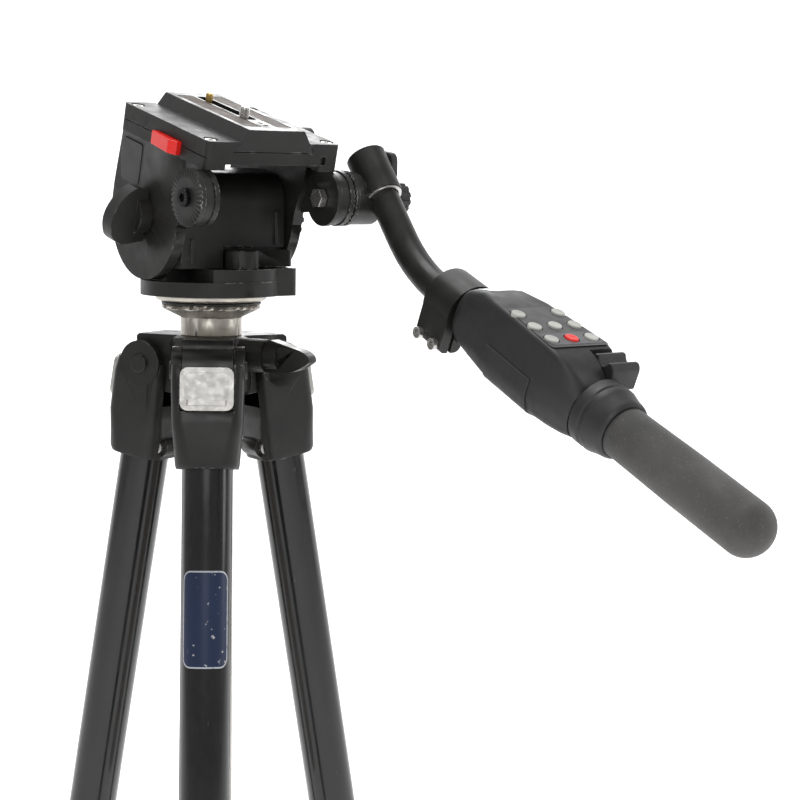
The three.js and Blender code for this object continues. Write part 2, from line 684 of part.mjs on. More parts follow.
// the red release button, a bar with a sloping outer face
function buttonSolid() {
  const face = outline([
    [-PLATFORM_W / 2 + 7, -34.3],
    [-PLATFORM_W / 2 - 3, -34.3],
    [-PLATFORM_W / 2 - 5.5, -29],
    [-PLATFORM_W / 2 - 3.2, -5.7],
    [-PLATFORM_W / 2 + 7, -5.7],
  ]);
  return plate("xy", face, RELEASE_LOW, RELEASE_HIGH);
}
const release = groupAt(tilt, "release");
add(release, "safety_button", buttonSolid(), RED);

// ---- quick-release plate -----------------------------------------------------------------
const quick = groupAt(tilt, "quick");
const SCREW_Y = -26;
const PIN_Y = 14;

function quickPlateSolid() {
  const topHalf = PLATE_TOP_W / 2;
  const section = outline([
    [-plateBottomHalf, PLATE_BOTTOM],
    [plateBottomHalf, PLATE_BOTTOM],
    [topHalf, PLATE_TOP - 0.6],
    [topHalf - 0.6, PLATE_TOP],
    [-topHalf + 0.6, PLATE_TOP],
    [-topHalf, PLATE_TOP - 0.6],
  ]);
  const body = plate("xz", section, -PLATE_FRONT - PLATE_LENGTH, -PLATE_FRONT);
  const slot = plate("xy", rounded(-3.4, -36, 3.4, 24, 3.3), PLATE_BOTTOM - 1, PLATE_TOP + 1, 4);
  const recess = plate("xy", rounded(-8.5, -41, 8.5, 28, 3), PLATE_BOTTOM - 1, PLATE_BOTTOM + 6.5, 3);
  return cut(body, slot, recess);
}
add(quick, "quick_release_plate", quickPlateSolid(), PAINT);
add(
  quick,
  "camera_screw",
  union(
    rod("z", PLATE_BOTTOM + 1, PLATE_BOTTOM + 5.8, 7, 20, [0, SCREW_Y]),
    rod("z", PLATE_BOTTOM + 2, PLATE_TOP + 5.5, 3, 20, [0, SCREW_Y]),
  ),
  STEEL,
);
add(
  quick,
  "video_pin",
  union(
    rod("z", PLATE_BOTTOM + PIN_PRESS + 0.2, PLATE_BOTTOM + 5.8, 5.5, 16, [0, PIN_Y]),
    rod("z", PLATE_BOTTOM + PIN_PRESS + 0.4, PLATE_TOP + 4.5, 2.2, 16, [0, PIN_Y]),
  ),
  BRASS,
);

// ---- pan bar -----------------------------------------------------------------------------
// Everything here turns about the bolt through the right rosette.
const restTilt = TILT_REST * DEG;
const handle = groupAt(tilt, "handle", 0, ROSETTE_Y, ROSETTE_Z);
handle.rotation.x = -restTilt;

const barDir = [-Math.cos(BAR_DROP * DEG), -Math.sin(BAR_DROP * DEG)];
const gripDir = [-Math.cos(GRIP_DROP * DEG), -Math.sin(GRIP_DROP * DEG)];
const along = (start, dir, s) => [start[0] + dir[0] * s, start[1] + dir[1] * s];
// points of the bar's own plane, from the bolt: the bar passes over the bolt and then comes to its corner
const overBolt = along([0, 0], [barDir[1], -barDir[0]], BAR_R + HANDLE_BOLT_R + BOLT_ROOM);
const corner = along(overBolt, barDir, BAR_UPPER_L);
const SOCKET_BEFORE = -BAR_UPPER_L - 21;
const SOCKET_AFTER = -BAR_UPPER_L + 8;

// A group whose -z runs down the grip and whose +y is the side that faces up; +x is then the left side.
function alongGrip(parent, name, s) {
  const at = along(corner, gripDir, s);
  const g = groupAt(parent, name, HANDLE_X, at[0], at[1]);
  g.rotation.x = -(90 - GRIP_DROP) * DEG;
  g.rotateZ(Math.PI);
  return g;
}

function barSolid() {
  const bend = BAR_BEND_R * Math.tan(((BAR_DROP - GRIP_DROP) / 2) * DEG);
  const pts = [];
  const push = ([y, z]) => pts.push(new THREE.Vector3(HANDLE_X, y, z));
  const path = new THREE.CurvePath();
  push(along(corner, barDir, SOCKET_BEFORE + 3));
  push(along(corner, barDir, -bend));
  push(corner);
  push(along(corner, gripDir, bend));
  push(along(corner, gripDir, RING_FROM_CORNER + RING_CLAMP_L + 7));
  path.add(new THREE.LineCurve3(pts[0], pts[1]));
  path.add(new THREE.QuadraticBezierCurve3(pts[1], pts[2], pts[3]));
  path.add(new THREE.LineCurve3(pts[3], pts[4]));
  const section = new THREE.Shape();
  section.absarc(0, 0, BAR_R, 0, Math.PI * 2, false);
  const g = new THREE.ExtrudeGeometry(section, { steps: 16, extrudePath: path, curveSegments: 8 });
  return solid(g);
}

function tiltedRod(dir, from, to, radius, sides = 28) {
  const angle = Math.atan2(-dir[0], -dir[1]) / DEG; // from straight down towards -y
  const r = rod("z", -to, -from, radius, sides).rotate([-angle, 0, 0]);
  return r.translate([HANDLE_X, corner[0], corner[1]]);
}

function handleClampSolid() {
  const hub = union(
    rod("x", ROSETTE_OUT + GAP, ROSETTE_OUT + 3.4, ROSETTE_R, 36),
    rod("x", ROSETTE_OUT + 3, HANDLE_X, ROSETTE_R - 0.8, 32),
    rod("x", HANDLE_X - 1, HANDLE_X + SOCKET_R, 8, 24),
  );
  const socket = tiltedRod(barDir, SOCKET_BEFORE, SOCKET_AFTER, SOCKET_R);
  const bore = tiltedRod(barDir, SOCKET_BEFORE + 3 - GAP, SOCKET_AFTER + 60, BAR_R + GAP);
  const boltHole = rod("x", 0, 120, HANDLE_BOLT_R + GAP, 16);
  const wingHole = rod("x", HANDLE_X, 120, 2.6 + GAP, 12, along(corner, barDir, SOCKET_BEFORE + 8));
  return cut(union(hub, socket), bore, boltHole, wingHole);
}
add(handle, "handle_clamp", handleClampSolid(), PAINT);
add(handle, "pan_bar", barSolid(), PAINT);

const handleBolt = groupAt(tilt, "handle_bolt_axis", 0, ROSETTE_Y, ROSETTE_Z);
add(
  handleBolt,
  "handle_bolt",
  union(
    rod("x", ROSETTE_OUT - ROSETTE_L - 5, ROSETTE_OUT - ROSETTE_L - GAP, 6, 6),
    rod("x", ROSETTE_OUT - ROSETTE_L - 1, HANDLE_X + SOCKET_R + 6, HANDLE_BOLT_R, 16),
  ),
  STEEL,
);
const handleKnob = groupAt(handle, "handle_knob_axis");
add(
  handleKnob,
  "handle_knob",
  cut(
    rod("x", HANDLE_X + SOCKET_R + GAP, HANDLE_X + SOCKET_R + 13, 9.6, 24),
    rod("x", HANDLE_X + SOCKET_R - 1, HANDLE_X + SOCKET_R + 7, HANDLE_BOLT_R + GAP, 16),
  ),
  PLASTIC,
);
const wingAt = along(corner, barDir, SOCKET_BEFORE + 8);
const wing = groupAt(handle, "wing_axis", 0, wingAt[0], wingAt[1]);
add(
  wing,
  "wing_knob",
  union(
    rod("x", HANDLE_X + BAR_R + 2 * GAP, HANDLE_X + SOCKET_R + 2, 2.6, 12),
    plate("yz", rounded(-4, -7.5, 26, 12, 2.5), HANDLE_X + SOCKET_R + 1, HANDLE_X + SOCKET_R + 5.5, 4),
  ),
  PLASTIC,
);

// ---- remote control and grip ---------------------------------------------------------------
// Local frame: -z runs down the grip, +y is the keypad's side.
const ringGroup = alongGrip(handle, "ring_clamp", RING_FROM_CORNER - 6);
function ringClampSolid() {
  const ring = rod("z", -RING_CLAMP_L, 0, RING_CLAMP_R, 32);
  const lug = plate("xy", rounded(2, -24, 17, 0, 4), -RING_CLAMP_L, 0, 4);
  const bore = rod("z", -RING_CLAMP_L - 1, 1, BAR_R + GAP, 28);
  const slit = box(8.4, 10.6, -40, -4, -RING_CLAMP_L - 1, 1);
  const lowSlit = box(0, 20, -40, -17.5, -14.5, -9.5);
  return cut(union(ring, lug), bore, slit, lowSlit);
}
add(ringGroup, "remote_clamp", ringClampSolid(), PAINT);

const remote = alongGrip(handle, "remote", RING_FROM_CORNER - 6 + RING_CLAMP_L + 2);
const KEYPAD_Y = 25.4;
const STATIONS = [
  // along the grip, keypad height, keypad half-width, belly half-width, underside
  [0, 17, 10.5, 15.5, -13],
  [18, 25, 12, 18.5, -17],
  [42, KEYPAD_Y, 15.5, 22.5, -19],
  [HOUSING_L - 26, KEYPAD_Y, 22, 24.5, -19],
  [HOUSING_L - 14, 23, 20.5, 23.5, -18.5],
  [HOUSING_L, 13, 13, 19, -17.5],
];
function housingRing([s, top, topHalf, half, low]) {
  const side = [
    [topHalf - 2, top],
    [topHalf, top - 1.6],
    [half, top * 0.35],
    [half, low * 0.35],
    [half * 0.86, low * 0.75],
    [half * 0.5, low],
  ];
  const right = side.map(([x, y]) => [x, y, -s]);
  const left = side.map(([x, y]) => [-x, y, -s]).reverse();
  return [...right, ...left];
}
const KEYS = [
  [-1, 0], [1, 0],
  [-1, 1], [0, 1], [1, 1],
  [-1, 2], [0, 2], [1, 2],
];
const KEY_S0 = 48;
const KEY_ROW = 14.7;
const ROCKER_S = HOUSING_L - 12;
const COLLAR_L = 24;

function housingSolid() {
  let body = loft(STATIONS.map(housingRing));
  for (const [c, r] of KEYS) {
    const at = [c * BUTTON_PITCH, -(KEY_S0 + r * KEY_ROW)];
    const well = new THREE.CylinderGeometry(BUTTON_R + 0.5, BUTTON_R + 0.5, 6, 14);
    well.translate(at[0], KEYPAD_Y, at[1]);
    body = body.subtract(solid(well));
  }
  const rockerSeat = box(-30, -4, 9, 40, -ROCKER_S - 12.2, -ROCKER_S + 9.5);
  const spigot = rod("z", 0 - 12, 1, BAR_R + 1, 20);
  return cut(body, rockerSeat, spigot);
}
add(remote, "remote_housing", housingSolid(), PLASTIC);
KEYS.forEach(([c, r], i) => {
  const key = groupAt(remote, "key_" + (i + 1), c * BUTTON_PITCH, KEYPAD_Y, -(KEY_S0 + r * KEY_ROW));
  const g = new THREE.CylinderGeometry(BUTTON_R - 0.5, BUTTON_R, 3.6, 14);
  add(key, "button_" + (i + 1), solid(g), i === 6 ? RED : KEY);
});
const rocker = groupAt(remote, "zoom", -14, 13, -ROCKER_S - 1.5);
add(
  rocker,
  "zoom_rocker",
  plate("yz", outline([[-3, -9], [8, -9], [12, -5], [7.5, -0.8], [7.5, 0.8], [12, 5], [8, 9], [-3, 9]]), -11, 9),
  PLASTIC,
);

const GRIP_START = HOUSING_L + COLLAR_L;
function gripSolid() {
  const profile = [
    [0, -GRIP_START - GRIP_L],
    [GRIP_R1 * 0.45, -GRIP_START - GRIP_L + 1.2],
    [GRIP_R1 * 0.8, -GRIP_START - GRIP_L + 5],
    [GRIP_R1, -GRIP_START - GRIP_L + 13],
    [GRIP_R0, -GRIP_START],
    [GRIP_R0 + 1, -GRIP_START + 0.5],
    [GRIP_R0 + 4.5, -GRIP_START + 10],
    [GRIP_R0 + 5, -HOUSING_L - GAP],
    [0, -HOUSING_L - GAP],
  ];
  return turned(profile, 32);
}
add(remote, "grip", gripSolid(), RUBBER);

// ---- stand the feet on the ground ------------------------------------------------------------
tripod.updateMatrixWorld(true);
const extent = new THREE.Box3().setFromObject(tripod, true);
const centre = extent.getCenter(new THREE.Vector3());
tripod.position.set(-centre.x, -centre.y, -extent.min.z);

export default tripod;
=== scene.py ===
"""Looks for a camera tripod with a fluid head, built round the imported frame.

Each piece is modelled in millimetres, in the frame of the body that carries it, with that body's
axis or seat as the zero. It is then put in its place in the row frame, in metres.
"""

from __future__ import annotations

import json
import logging
import math
from collections.abc import Callable, Iterator, Sequence
from contextlib import contextmanager
from dataclasses import dataclass, field
from enum import Enum

import bpy
from mathutils import Matrix, Vector

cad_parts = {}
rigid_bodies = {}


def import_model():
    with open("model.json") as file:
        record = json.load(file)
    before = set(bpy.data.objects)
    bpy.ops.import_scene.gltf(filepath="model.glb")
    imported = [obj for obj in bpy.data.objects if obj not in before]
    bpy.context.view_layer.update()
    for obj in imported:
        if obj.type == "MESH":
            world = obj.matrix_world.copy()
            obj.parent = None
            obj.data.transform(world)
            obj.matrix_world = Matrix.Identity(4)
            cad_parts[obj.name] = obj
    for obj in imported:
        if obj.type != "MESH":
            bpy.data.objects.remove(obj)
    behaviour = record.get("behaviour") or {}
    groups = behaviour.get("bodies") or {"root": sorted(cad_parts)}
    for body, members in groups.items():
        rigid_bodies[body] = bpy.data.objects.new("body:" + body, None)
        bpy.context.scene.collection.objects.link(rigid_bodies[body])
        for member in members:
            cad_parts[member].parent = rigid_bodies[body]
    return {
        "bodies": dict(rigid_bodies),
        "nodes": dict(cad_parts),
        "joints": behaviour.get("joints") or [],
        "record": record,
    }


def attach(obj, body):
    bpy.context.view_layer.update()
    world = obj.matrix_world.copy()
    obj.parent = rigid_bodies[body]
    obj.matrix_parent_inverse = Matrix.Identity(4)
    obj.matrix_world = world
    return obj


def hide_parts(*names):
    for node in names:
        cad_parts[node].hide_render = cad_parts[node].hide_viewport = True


LOG = logging.getLogger("tripod")
MM = 0.001
GAP = 0.35
ROUND = 72
Point2 = tuple[float, float]
Point3 = tuple[float, float, float]


# ---- shapes --------------------------------------------------------------------------------
class Axis(Enum):
    """A direction that a rod or a slab is built along."""

    X = 0
    Y = 1
    Z = 2

    def point(self, along: float, across: Point2) -> Vector:
        """The point at a distance along this axis, with the other two coordinates in x, y, z order."""
        values = list(across)
        values.insert(self.value, along)
        return Vector(values)

    def turn(self) -> Matrix:
        """The rotation that lays the Z axis along this one."""
        turns = {
            Axis.X: Matrix.Rotation(math.pi / 2, 4, "Y"),
            Axis.Y: Matrix.Rotation(-math.pi / 2, 4, "X"),
            Axis.Z: Matrix.Identity(4),
        }
        return turns[self]


class Join(Enum):
    """How a tool changes the body that it is set against."""

    UNITE = "UNION"
    CARVE = "DIFFERENCE"
    KEEP_COMMON = "INTERSECT"


def pick(thing: bpy.types.Object) -> None:
    """Selects one object alone and makes it the active one."""
    bpy.ops.object.select_all(action="DESELECT")
    thing.select_set(True)
    bpy.context.view_layer.objects.active = thing


@contextmanager
def editing(thing: bpy.types.Object) -> Iterator[None]:
    """Edit mode on one object, with everything in it selected."""
    pick(thing)
    bpy.ops.object.mode_set(mode="EDIT")
    bpy.ops.mesh.select_all(action="SELECT")
    yield
    bpy.ops.object.mode_set(mode="OBJECT")


def moved(thing: bpy.types.Object, matrix: Matrix) -> bpy.types.Object:
    """Moves an object's mesh and leaves its object at the origin."""
    thing.data.transform(matrix)
    if matrix.determinant() < 0:
        thing.data.flip_normals()
    return thing


def turned_about(thing: bpy.types.Object, axis: Axis, degrees: float) -> bpy.types.Object:
    """Turns a mesh about an axis through the origin."""
    return moved(thing, Matrix.Rotation(math.radians(degrees), 4, axis.name))


def shifted(thing: bpy.types.Object, x: float, y: float, z: float) -> bpy.types.Object:
    """Shifts a mesh."""
    return moved(thing, Matrix.Translation((x, y, z)))


MODELS: dict[str, bpy.types.Mesh] = {}


def modelled_once(word: str, model: Callable[[], bpy.types.Object]) -> bpy.types.Object:
    """A piece that repeats: modelled the first time it is asked for, and copied after that.

    Args:
        word: What the piece is called among the models.
        model: Models the piece.

    Returns:
        The piece, with a mesh of its own.
    """
    if word not in MODELS:
        first = model()
        MODELS[word] = first.data.copy()
        return first
    again = bpy.data.objects.new(word, MODELS[word].copy())
    bpy.context.scene.collection.objects.link(again)
    return again


def ring_of(points: Sequence[Sequence[float]], filled: bool) -> bpy.types.Object:
    """A closed ring of points.

    Args:
        points: The corners in order.
        filled: Whether the ring gets a face.

    Returns:
        The new object.
    """
    bpy.ops.object.select_all(action="DESELECT")
    bpy.ops.mesh.primitive_circle_add(
        vertices=len(points), radius=1, fill_type="NGON" if filled else "NOTHING"
    )
    made = bpy.context.object
    for vertex, place in zip(made.data.vertices, points):
        vertex.co = place
    return made


def block(low: Point3, high: Point3) -> bpy.types.Object:
    """A box between two corners."""
    bpy.ops.object.select_all(action="DESELECT")
    bpy.ops.mesh.primitive_cube_add(size=1)
    made = bpy.context.object
    lo, hi = Vector(low), Vector(high)
    return moved(made, Matrix.Translation((lo + hi) / 2) @ Matrix.Diagonal((*(hi - lo), 1)))


def rod(
    axis: Axis,
    start: float,
    end: float,
    radius: float,
    at: Point2 = (0.0, 0.0),
    end_radius: float | None = None,
    sides: int = ROUND,
) -> bpy.types.Object:
    """A cylinder or a cone along an axis.

    Args:
        axis: Its direction.
        start: Where it begins along the axis.
        end: Where it ends, beyond the start.
        radius: Its radius at the start.
        at: The other two coordinates of its centre line.
        end_radius: Its radius at the end, if it tapers.
        sides: How many flats go round it.

    Returns:
        The new object.
    """
    bpy.ops.object.select_all(action="DESELECT")
    bpy.ops.mesh.primitive_cone_add(
        vertices=sides,
        radius1=radius,
        radius2=radius if end_radius is None else end_radius,
        depth=end - start,
    )
    made = bpy.context.object
    return moved(made, Matrix.Translation(axis.point((start + end) / 2, at)) @ axis.turn())


def slab(axis: Axis, points: Sequence[Point2], start: float, end: float) -> bpy.types.Object:
    """An outline lifted along an axis.

    Args:
        axis: The direction it is lifted in.
        points: The outline, in the other two coordinates.
        start: Where the slab begins.
        end: Where it ends.

    Returns:
        The new object.
    """
    made = ring_of([axis.point(start, p) for p in points], filled=True)
    with editing(made):
        bpy.ops.mesh.extrude_region_move(
            TRANSFORM_OT_translate={"value": axis.point(end - start, (0.0, 0.0))}
        )
        bpy.ops.mesh.select_all(action="SELECT")
        bpy.ops.mesh.normals_make_consistent(inside=False)
    return made


def turned(profile: Sequence[Point2], steps: int = 96) -> bpy.types.Object:
    """A profile of radius and height spun about Z; it closes on the axis or on itself."""
    made = ring_of([(r, 0.0, z) for r, z in profile], filled=False)
    with editing(made):
        bpy.ops.mesh.spin(steps=steps, angle=2 * math.pi, center=(0, 0, 0), axis=(0, 0, 1))
        bpy.ops.mesh.select_all(action="SELECT")
        bpy.ops.mesh.remove_doubles(threshold=0.002)
        bpy.ops.mesh.delete_loose()
        bpy.ops.mesh.select_all(action="SELECT")
        bpy.ops.mesh.normals_make_consistent(inside=False)
    return made


def lofted(rings: Sequence[Sequence[Vector]]) -> bpy.types.Object:
    """A closed body drawn through rings that have the same number of points.

    Args:
        rings: The rings in order, each a list of points.

    Returns:
        The new object.
    """
    count = len(rings[0])
    made = ring_of(rings[0], filled=True)
    newest = list(range(count))
    for ring in rings[1:]:
        places = [made.data.vertices[i].co.copy() for i in newest]
        with editing(made):
            bpy.ops.mesh.select_all(action="DESELECT")
            bpy.ops.object.mode_set(mode="OBJECT")
            chosen = set(newest)
            for face in made.data.polygons:
                face.select = len(face.vertices) == count and set(face.vertices) == chosen
            bpy.ops.object.mode_set(mode="EDIT")
            bpy.ops.mesh.select_mode(type="FACE")
            bpy.ops.mesh.extrude_region_move(TRANSFORM_OT_translate={"value": (0, 0, 0)})
        fresh = [v.index for v in made.data.vertices if v.select]
        newest = [min(fresh, key=lambda i: (made.data.vertices[i].co - p).length) for p in places]
        for index, place in zip(newest, ring):
            made.data.vertices[index].co = place
    with editing(made):
        bpy.ops.mesh.select_mode(type="VERT")
        bpy.ops.mesh.select_all(action="SELECT")
        bpy.ops.mesh.normals_make_consistent(inside=False)
    return made


def join(how: Join, body: bpy.types.Object, *tools: bpy.types.Object) -> bpy.types.Object:
    """Sets each tool against the body and removes the tool.

    Args:
        how: Whether the tools add to the body, cut it or leave only what they share.
        body: The piece that is kept.
        tools: The pieces that are used up.

    Returns:
        The body.
    """
    for tool in tools:
        pick(body)
        fit = body.modifiers.new("fit", "BOOLEAN")
        fit.operation = how.value
        fit.object = tool
        fit.solver = "EXACT"
        bpy.ops.object.modifier_apply(modifier=fit.name)
        bpy.data.objects.remove(tool, do_unlink=True)
    return body


def unite(body: bpy.types.Object, *tools: bpy.types.Object) -> bpy.types.Object:
    """Joins the tools to the body."""
    return join(Join.UNITE, body, *tools)


def carve(body: bpy.types.Object, *tools: bpy.types.Object) -> bpy.types.Object:
    """Cuts the tools out of the body."""
    return join(Join.CARVE, body, *tools)


# ---- outlines --------------------------------------------------------------------------------
def arc(centre: Point2, radius: float, start: float, end: float, steps: int = 16) -> list[Point2]:
    """Points on an arc, with its angles in degrees from the first coordinate's axis."""
    angles = [math.radians(start + (end - start) * k / steps) for k in range(steps + 1)]
    return [(centre[0] + radius * math.cos(a), centre[1] + radius * math.sin(a)) for a in angles]


def bow(start: Point2, pull: Point2, end: Point2, steps: int = 10) -> list[Point2]:
    """Points on a quadratic curve from start to end that bends towards pull."""
    made = []
    for k in range(steps + 1):
        t = k / steps
        made.append(
            tuple((1 - t) ** 2 * a + 2 * t * (1 - t) * b + t * t * c for a, b, c in zip(start, pull, end))
        )
    return made


def rounded(low: Point2, high: Point2, radius: float, steps: int = 6) -> list[Point2]:
    """A rectangle with round corners."""
    (x0, y0), (x1, y1) = low, high
    return (
        arc((x1 - radius, y0 + radius), radius, -90, 0, steps)
        + arc((x1 - radius, y1 - radius), radius, 0, 90, steps)
        + arc((x0 + radius, y1 - radius), radius, 90, 180, steps)
        + arc((x0 + radius, y0 + radius), radius, 180, 270, steps)
    )


def softened(points: Sequence[Point2], radius: float, steps: int = 4) -> list[Point2]:
    """A closed outline with each corner cut back and bent round."""
    made: list[Point2] = []
    count = len(points)
    for i, corner in enumerate(points):
        here = Vector(corner)
        ends = []
        for other in (points[i - 1], points[(i + 1) % count]):
            way = Vector(other) - here
            ends.append(here + way.normalized() * min(radius, way.length * 0.45))
        made += bow(tuple(ends[0]), corner, tuple(ends[1]), steps)
    return made


# ---- finishes --------------------------------------------------------------------------------
class Nodes:
    """A material's node tree, with short ways to add and join nodes."""

    def __init__(self, name: str) -> None:
        """Starts a material that has a surface shader and object coordinates."""
        self.material = bpy.data.materials.new(name)
        self.material.use_nodes = True
        self.tree = self.material.node_tree
        self.shader = self.tree.nodes["Principled BSDF"]
        self.place = self.add("ShaderNodeTexCoord").outputs["Object"]

    def add(self, kind: str, **settings: object) -> bpy.types.ShaderNode:
        """Adds a node and sets its own options."""
        node = self.tree.nodes.new(kind)
        for key, value in settings.items():
            setattr(node, key, value)
        return node

    def link(self, source: bpy.types.NodeSocket, target: bpy.types.NodeSocket) -> None:
        """Joins an output to an input."""
        self.tree.links.new(source, target)

    def noise(self, scale: float, detail: float = 4.0, stretch: Point3 = (1, 1, 1)) -> bpy.types.NodeSocket:
        """Noise over the piece, with so many features to the metre."""
        mapping = self.add("ShaderNodeMapping")
        mapping.inputs["Scale"].default_value = stretch
        self.link(self.place, mapping.inputs["Vector"])
        node = self.add("ShaderNodeTexNoise")
        node.inputs["Scale"].default_value = scale
        node.inputs["Detail"].default_value = detail
        self.link(mapping.outputs["Vector"], node.inputs["Vector"])
        return node.outputs[0]

    def spread(
        self, value: bpy.types.NodeSocket, low: float, high: float, to_low: float, to_high: float
    ) -> bpy.types.NodeSocket:
        """Maps one range of a value to another, and clamps it there."""
        node = self.add("ShaderNodeMapRange")
        for key, number in (("From Min", low), ("From Max", high), ("To Min", to_low), ("To Max", to_high)):
            node.inputs[key].default_value = number
        self.link(value, node.inputs["Value"])
        return node.outputs["Result"]

    def times(self, first: bpy.types.NodeSocket, second: bpy.types.NodeSocket) -> bpy.types.NodeSocket:
        """The product of two values."""
        node = self.add("ShaderNodeMath", operation="MULTIPLY")
        self.link(first, node.inputs[0])
        self.link(second, node.inputs[1])
        return node.outputs[0]

    def blend(self, share: bpy.types.NodeSocket, first: object, second: object) -> bpy.types.NodeSocket:
        """Mixes two colours, each a socket or a colour."""
        node = self.add("ShaderNodeMix", data_type="RGBA")
        self.link(share, node.inputs[0])
        for index, value in ((6, first), (7, second)):
            if isinstance(value, bpy.types.NodeSocket):
                self.link(value, node.inputs[index])
            else:
                node.inputs[index].default_value = (*value, 1.0)
        return node.outputs[2]

    def edges(self, reach: float, sharp: float, soft: float) -> bpy.types.NodeSocket:
        """How near a point is to an outer edge, from 0 on a face to 1 on the edge."""
        bevel = self.add("ShaderNodeBevel", samples=4)
        bevel.inputs["Radius"].default_value = reach
        shape = self.add("ShaderNodeNewGeometry")
        dot = self.add("ShaderNodeVectorMath", operation="DOT_PRODUCT")
        self.link(bevel.outputs["Normal"], dot.inputs[0])
        self.link(shape.outputs["Normal"], dot.inputs[1])
        return self.spread(dot.outputs["Value"], sharp, soft, 1.0, 0.0)

    def bump(self, height: bpy.types.NodeSocket, strength: float, distance: float) -> None:
        """Raises the surface by a height."""
        node = self.add("ShaderNodeBump")
        node.inputs["Strength"].default_value = strength
        node.inputs["Distance"].default_value = distance
        self.link(height, node.inputs["Height"])
        self.link(node.outputs["Normal"], self.shader.inputs["Normal"])

    def fixed(self, **values: float) -> None:
        """Sets numbers on the shader's own sockets; an underscore stands for a space."""
        for key, value in values.items():
            self.shader.inputs[key.replace("_", " ")].default_value = value

    def surface(self, **sockets: bpy.types.NodeSocket) -> None:
        """Joins values to the shader's sockets; an underscore stands for a space."""
        for key, value in sockets.items():
            self.link(value, self.shader.inputs[key.replace("_", " ")])


@dataclass(frozen=True)
class Paint:
    """Satin paint on a casting, with bright metal where its edges are worn."""

    name: str
    dark: Point3 = (0.0085, 0.0086, 0.0078)
    light: Point3 = (0.0165, 0.0163, 0.0148)
    wear: float = 0.55
    rough: float = 0.4

    def material(self) -> bpy.types.Material:
        """Builds the material."""
        n = Nodes(self.name)
        patches = n.noise(34, 5)
        coat = n.blend(n.spread(patches, 0.35, 0.7, 0, 1), self.dark, self.light)
        chips = n.spread(n.noise(420, 6), 0.5, 0.62, 0, 1)
        areas = n.spread(n.noise(26, 2), 0.42, 0.62, 0, self.wear)
        worn = n.times(n.times(n.edges(0.0009, 0.86, 0.985), chips), areas)
        n.surface(Base_Color=n.blend(worn, coat, (0.55, 0.54, 0.52)), Metallic=worn)
        n.surface(Roughness=n.spread(n.noise(90, 5), 0.3, 0.7, self.rough - 0.08, self.rough + 0.12))
        n.fixed(Specular_IOR_Level=0.34)
        n.bump(n.noise(2600, 2), 0.12, 0.0002)
        return n.material


@dataclass(frozen=True)
class Anodised:
    """A glossy black tube with faint drawn lines along it."""

    name: str
    colour: Point3 = (0.004, 0.004, 0.0045)

    def material(self) -> bpy.types.Material:
        """Builds the material."""
        n = Nodes(self.name)
        lines = n.noise(60, 4, (14, 14, 0.4))
        coat = n.blend(n.spread(lines, 0.35, 0.7, 0, 1), self.colour, tuple(2.2 * c for c in self.colour))
        scuffs = n.spread(n.noise(300, 6, (1, 1, 0.25)), 0.7, 0.78, 0, 0.35)
        n.surface(Base_Color=n.blend(scuffs, coat, (0.12, 0.12, 0.12)))
        n.surface(Roughness=n.spread(n.noise(45, 5), 0.3, 0.7, 0.16, 0.27))
        n.fixed(Coat_Weight=0.3, Coat_Roughness=0.12, Specular_IOR_Level=0.35)
        n.bump(lines, 0.05, 0.0001)
        return n.material


@dataclass(frozen=True)
class Bright:
    """Bare or clear-coated metal with fine lines and small marks."""

    name: str
    colour: Point3 = (0.6, 0.59, 0.57)
    rough: float = 0.3
    along: Point3 = (1, 1, 12)
    stain: float = 0.4

    def material(self) -> bpy.types.Material:
        """Builds the material."""
        n = Nodes(self.name)
        lines = n.noise(260, 3, self.along)
        stains = n.spread(n.noise(55, 6), 0.45, 0.75, 0, self.stain)
        dull = tuple(0.55 * c for c in self.colour)
        n.surface(Base_Color=n.blend(stains, self.colour, dull))
        n.surface(Roughness=n.spread(lines, 0.3, 0.7, self.rough - 0.08, self.rough + 0.16))
        n.fixed(Metallic=0.92)
        n.bump(lines, 0.14, 0.0001)
        return n.material


@dataclass(frozen=True)
class Moulded:
    """Moulded plastic with a fine grain."""

    name: str
    colour: Point3
    rough: float = 0.5
    grain: float = 0.2
    marks: float = 0.35

    def material(self) -> bpy.types.Material:
        """Builds the material."""
        n = Nodes(self.name)
        pale = tuple(min(1.0, 1.6 * c + 0.004) for c in self.colour)
        coat = n.blend(n.spread(n.noise(48, 6), 0.4, 0.75, 0, self.marks), self.colour, pale)
        rubbed = n.spread(n.edges(0.0007, 0.86, 0.99), 0, 1, 0, 0.3)
        n.surface(Base_Color=n.blend(rubbed, coat, tuple(min(1.0, 2.6 * c + 0.01) for c in self.colour)))
        n.surface(Roughness=n.spread(n.noise(120, 4), 0.3, 0.7, self.rough - 0.07, self.rough + 0.1))
        n.bump(n.noise(1900, 3), self.grain, 0.0002)
        return n.material


@dataclass(frozen=True)
class Rubber:
    """Dusty rubber."""

    name: str
    colour: Point3 = (0.028, 0.027, 0.026)
    dust: Point3 = (0.085, 0.08, 0.073)

    def material(self) -> bpy.types.Material:
        """Builds the material."""
        n = Nodes(self.name)
        film = n.spread(n.noise(32, 8, (1, 0.5, 0.7)), 0.42, 0.72, 0, 0.6)
        specks = n.spread(n.noise(700, 5), 0.6, 0.72, 0, 0.5)
        coat = n.blend(film, self.colour, self.dust)
        n.surface(Base_Color=n.blend(specks, coat, tuple(1.5 * c for c in self.dust)))
        n.surface(Roughness=n.spread(n.noise(60, 4), 0.3, 0.7, 0.62, 0.85))
        n.fixed(Sheen_Weight=0.15, Sheen_Roughness=0.6)
        n.bump(n.noise(2400, 3), 0.3, 0.0002)
        return n.material


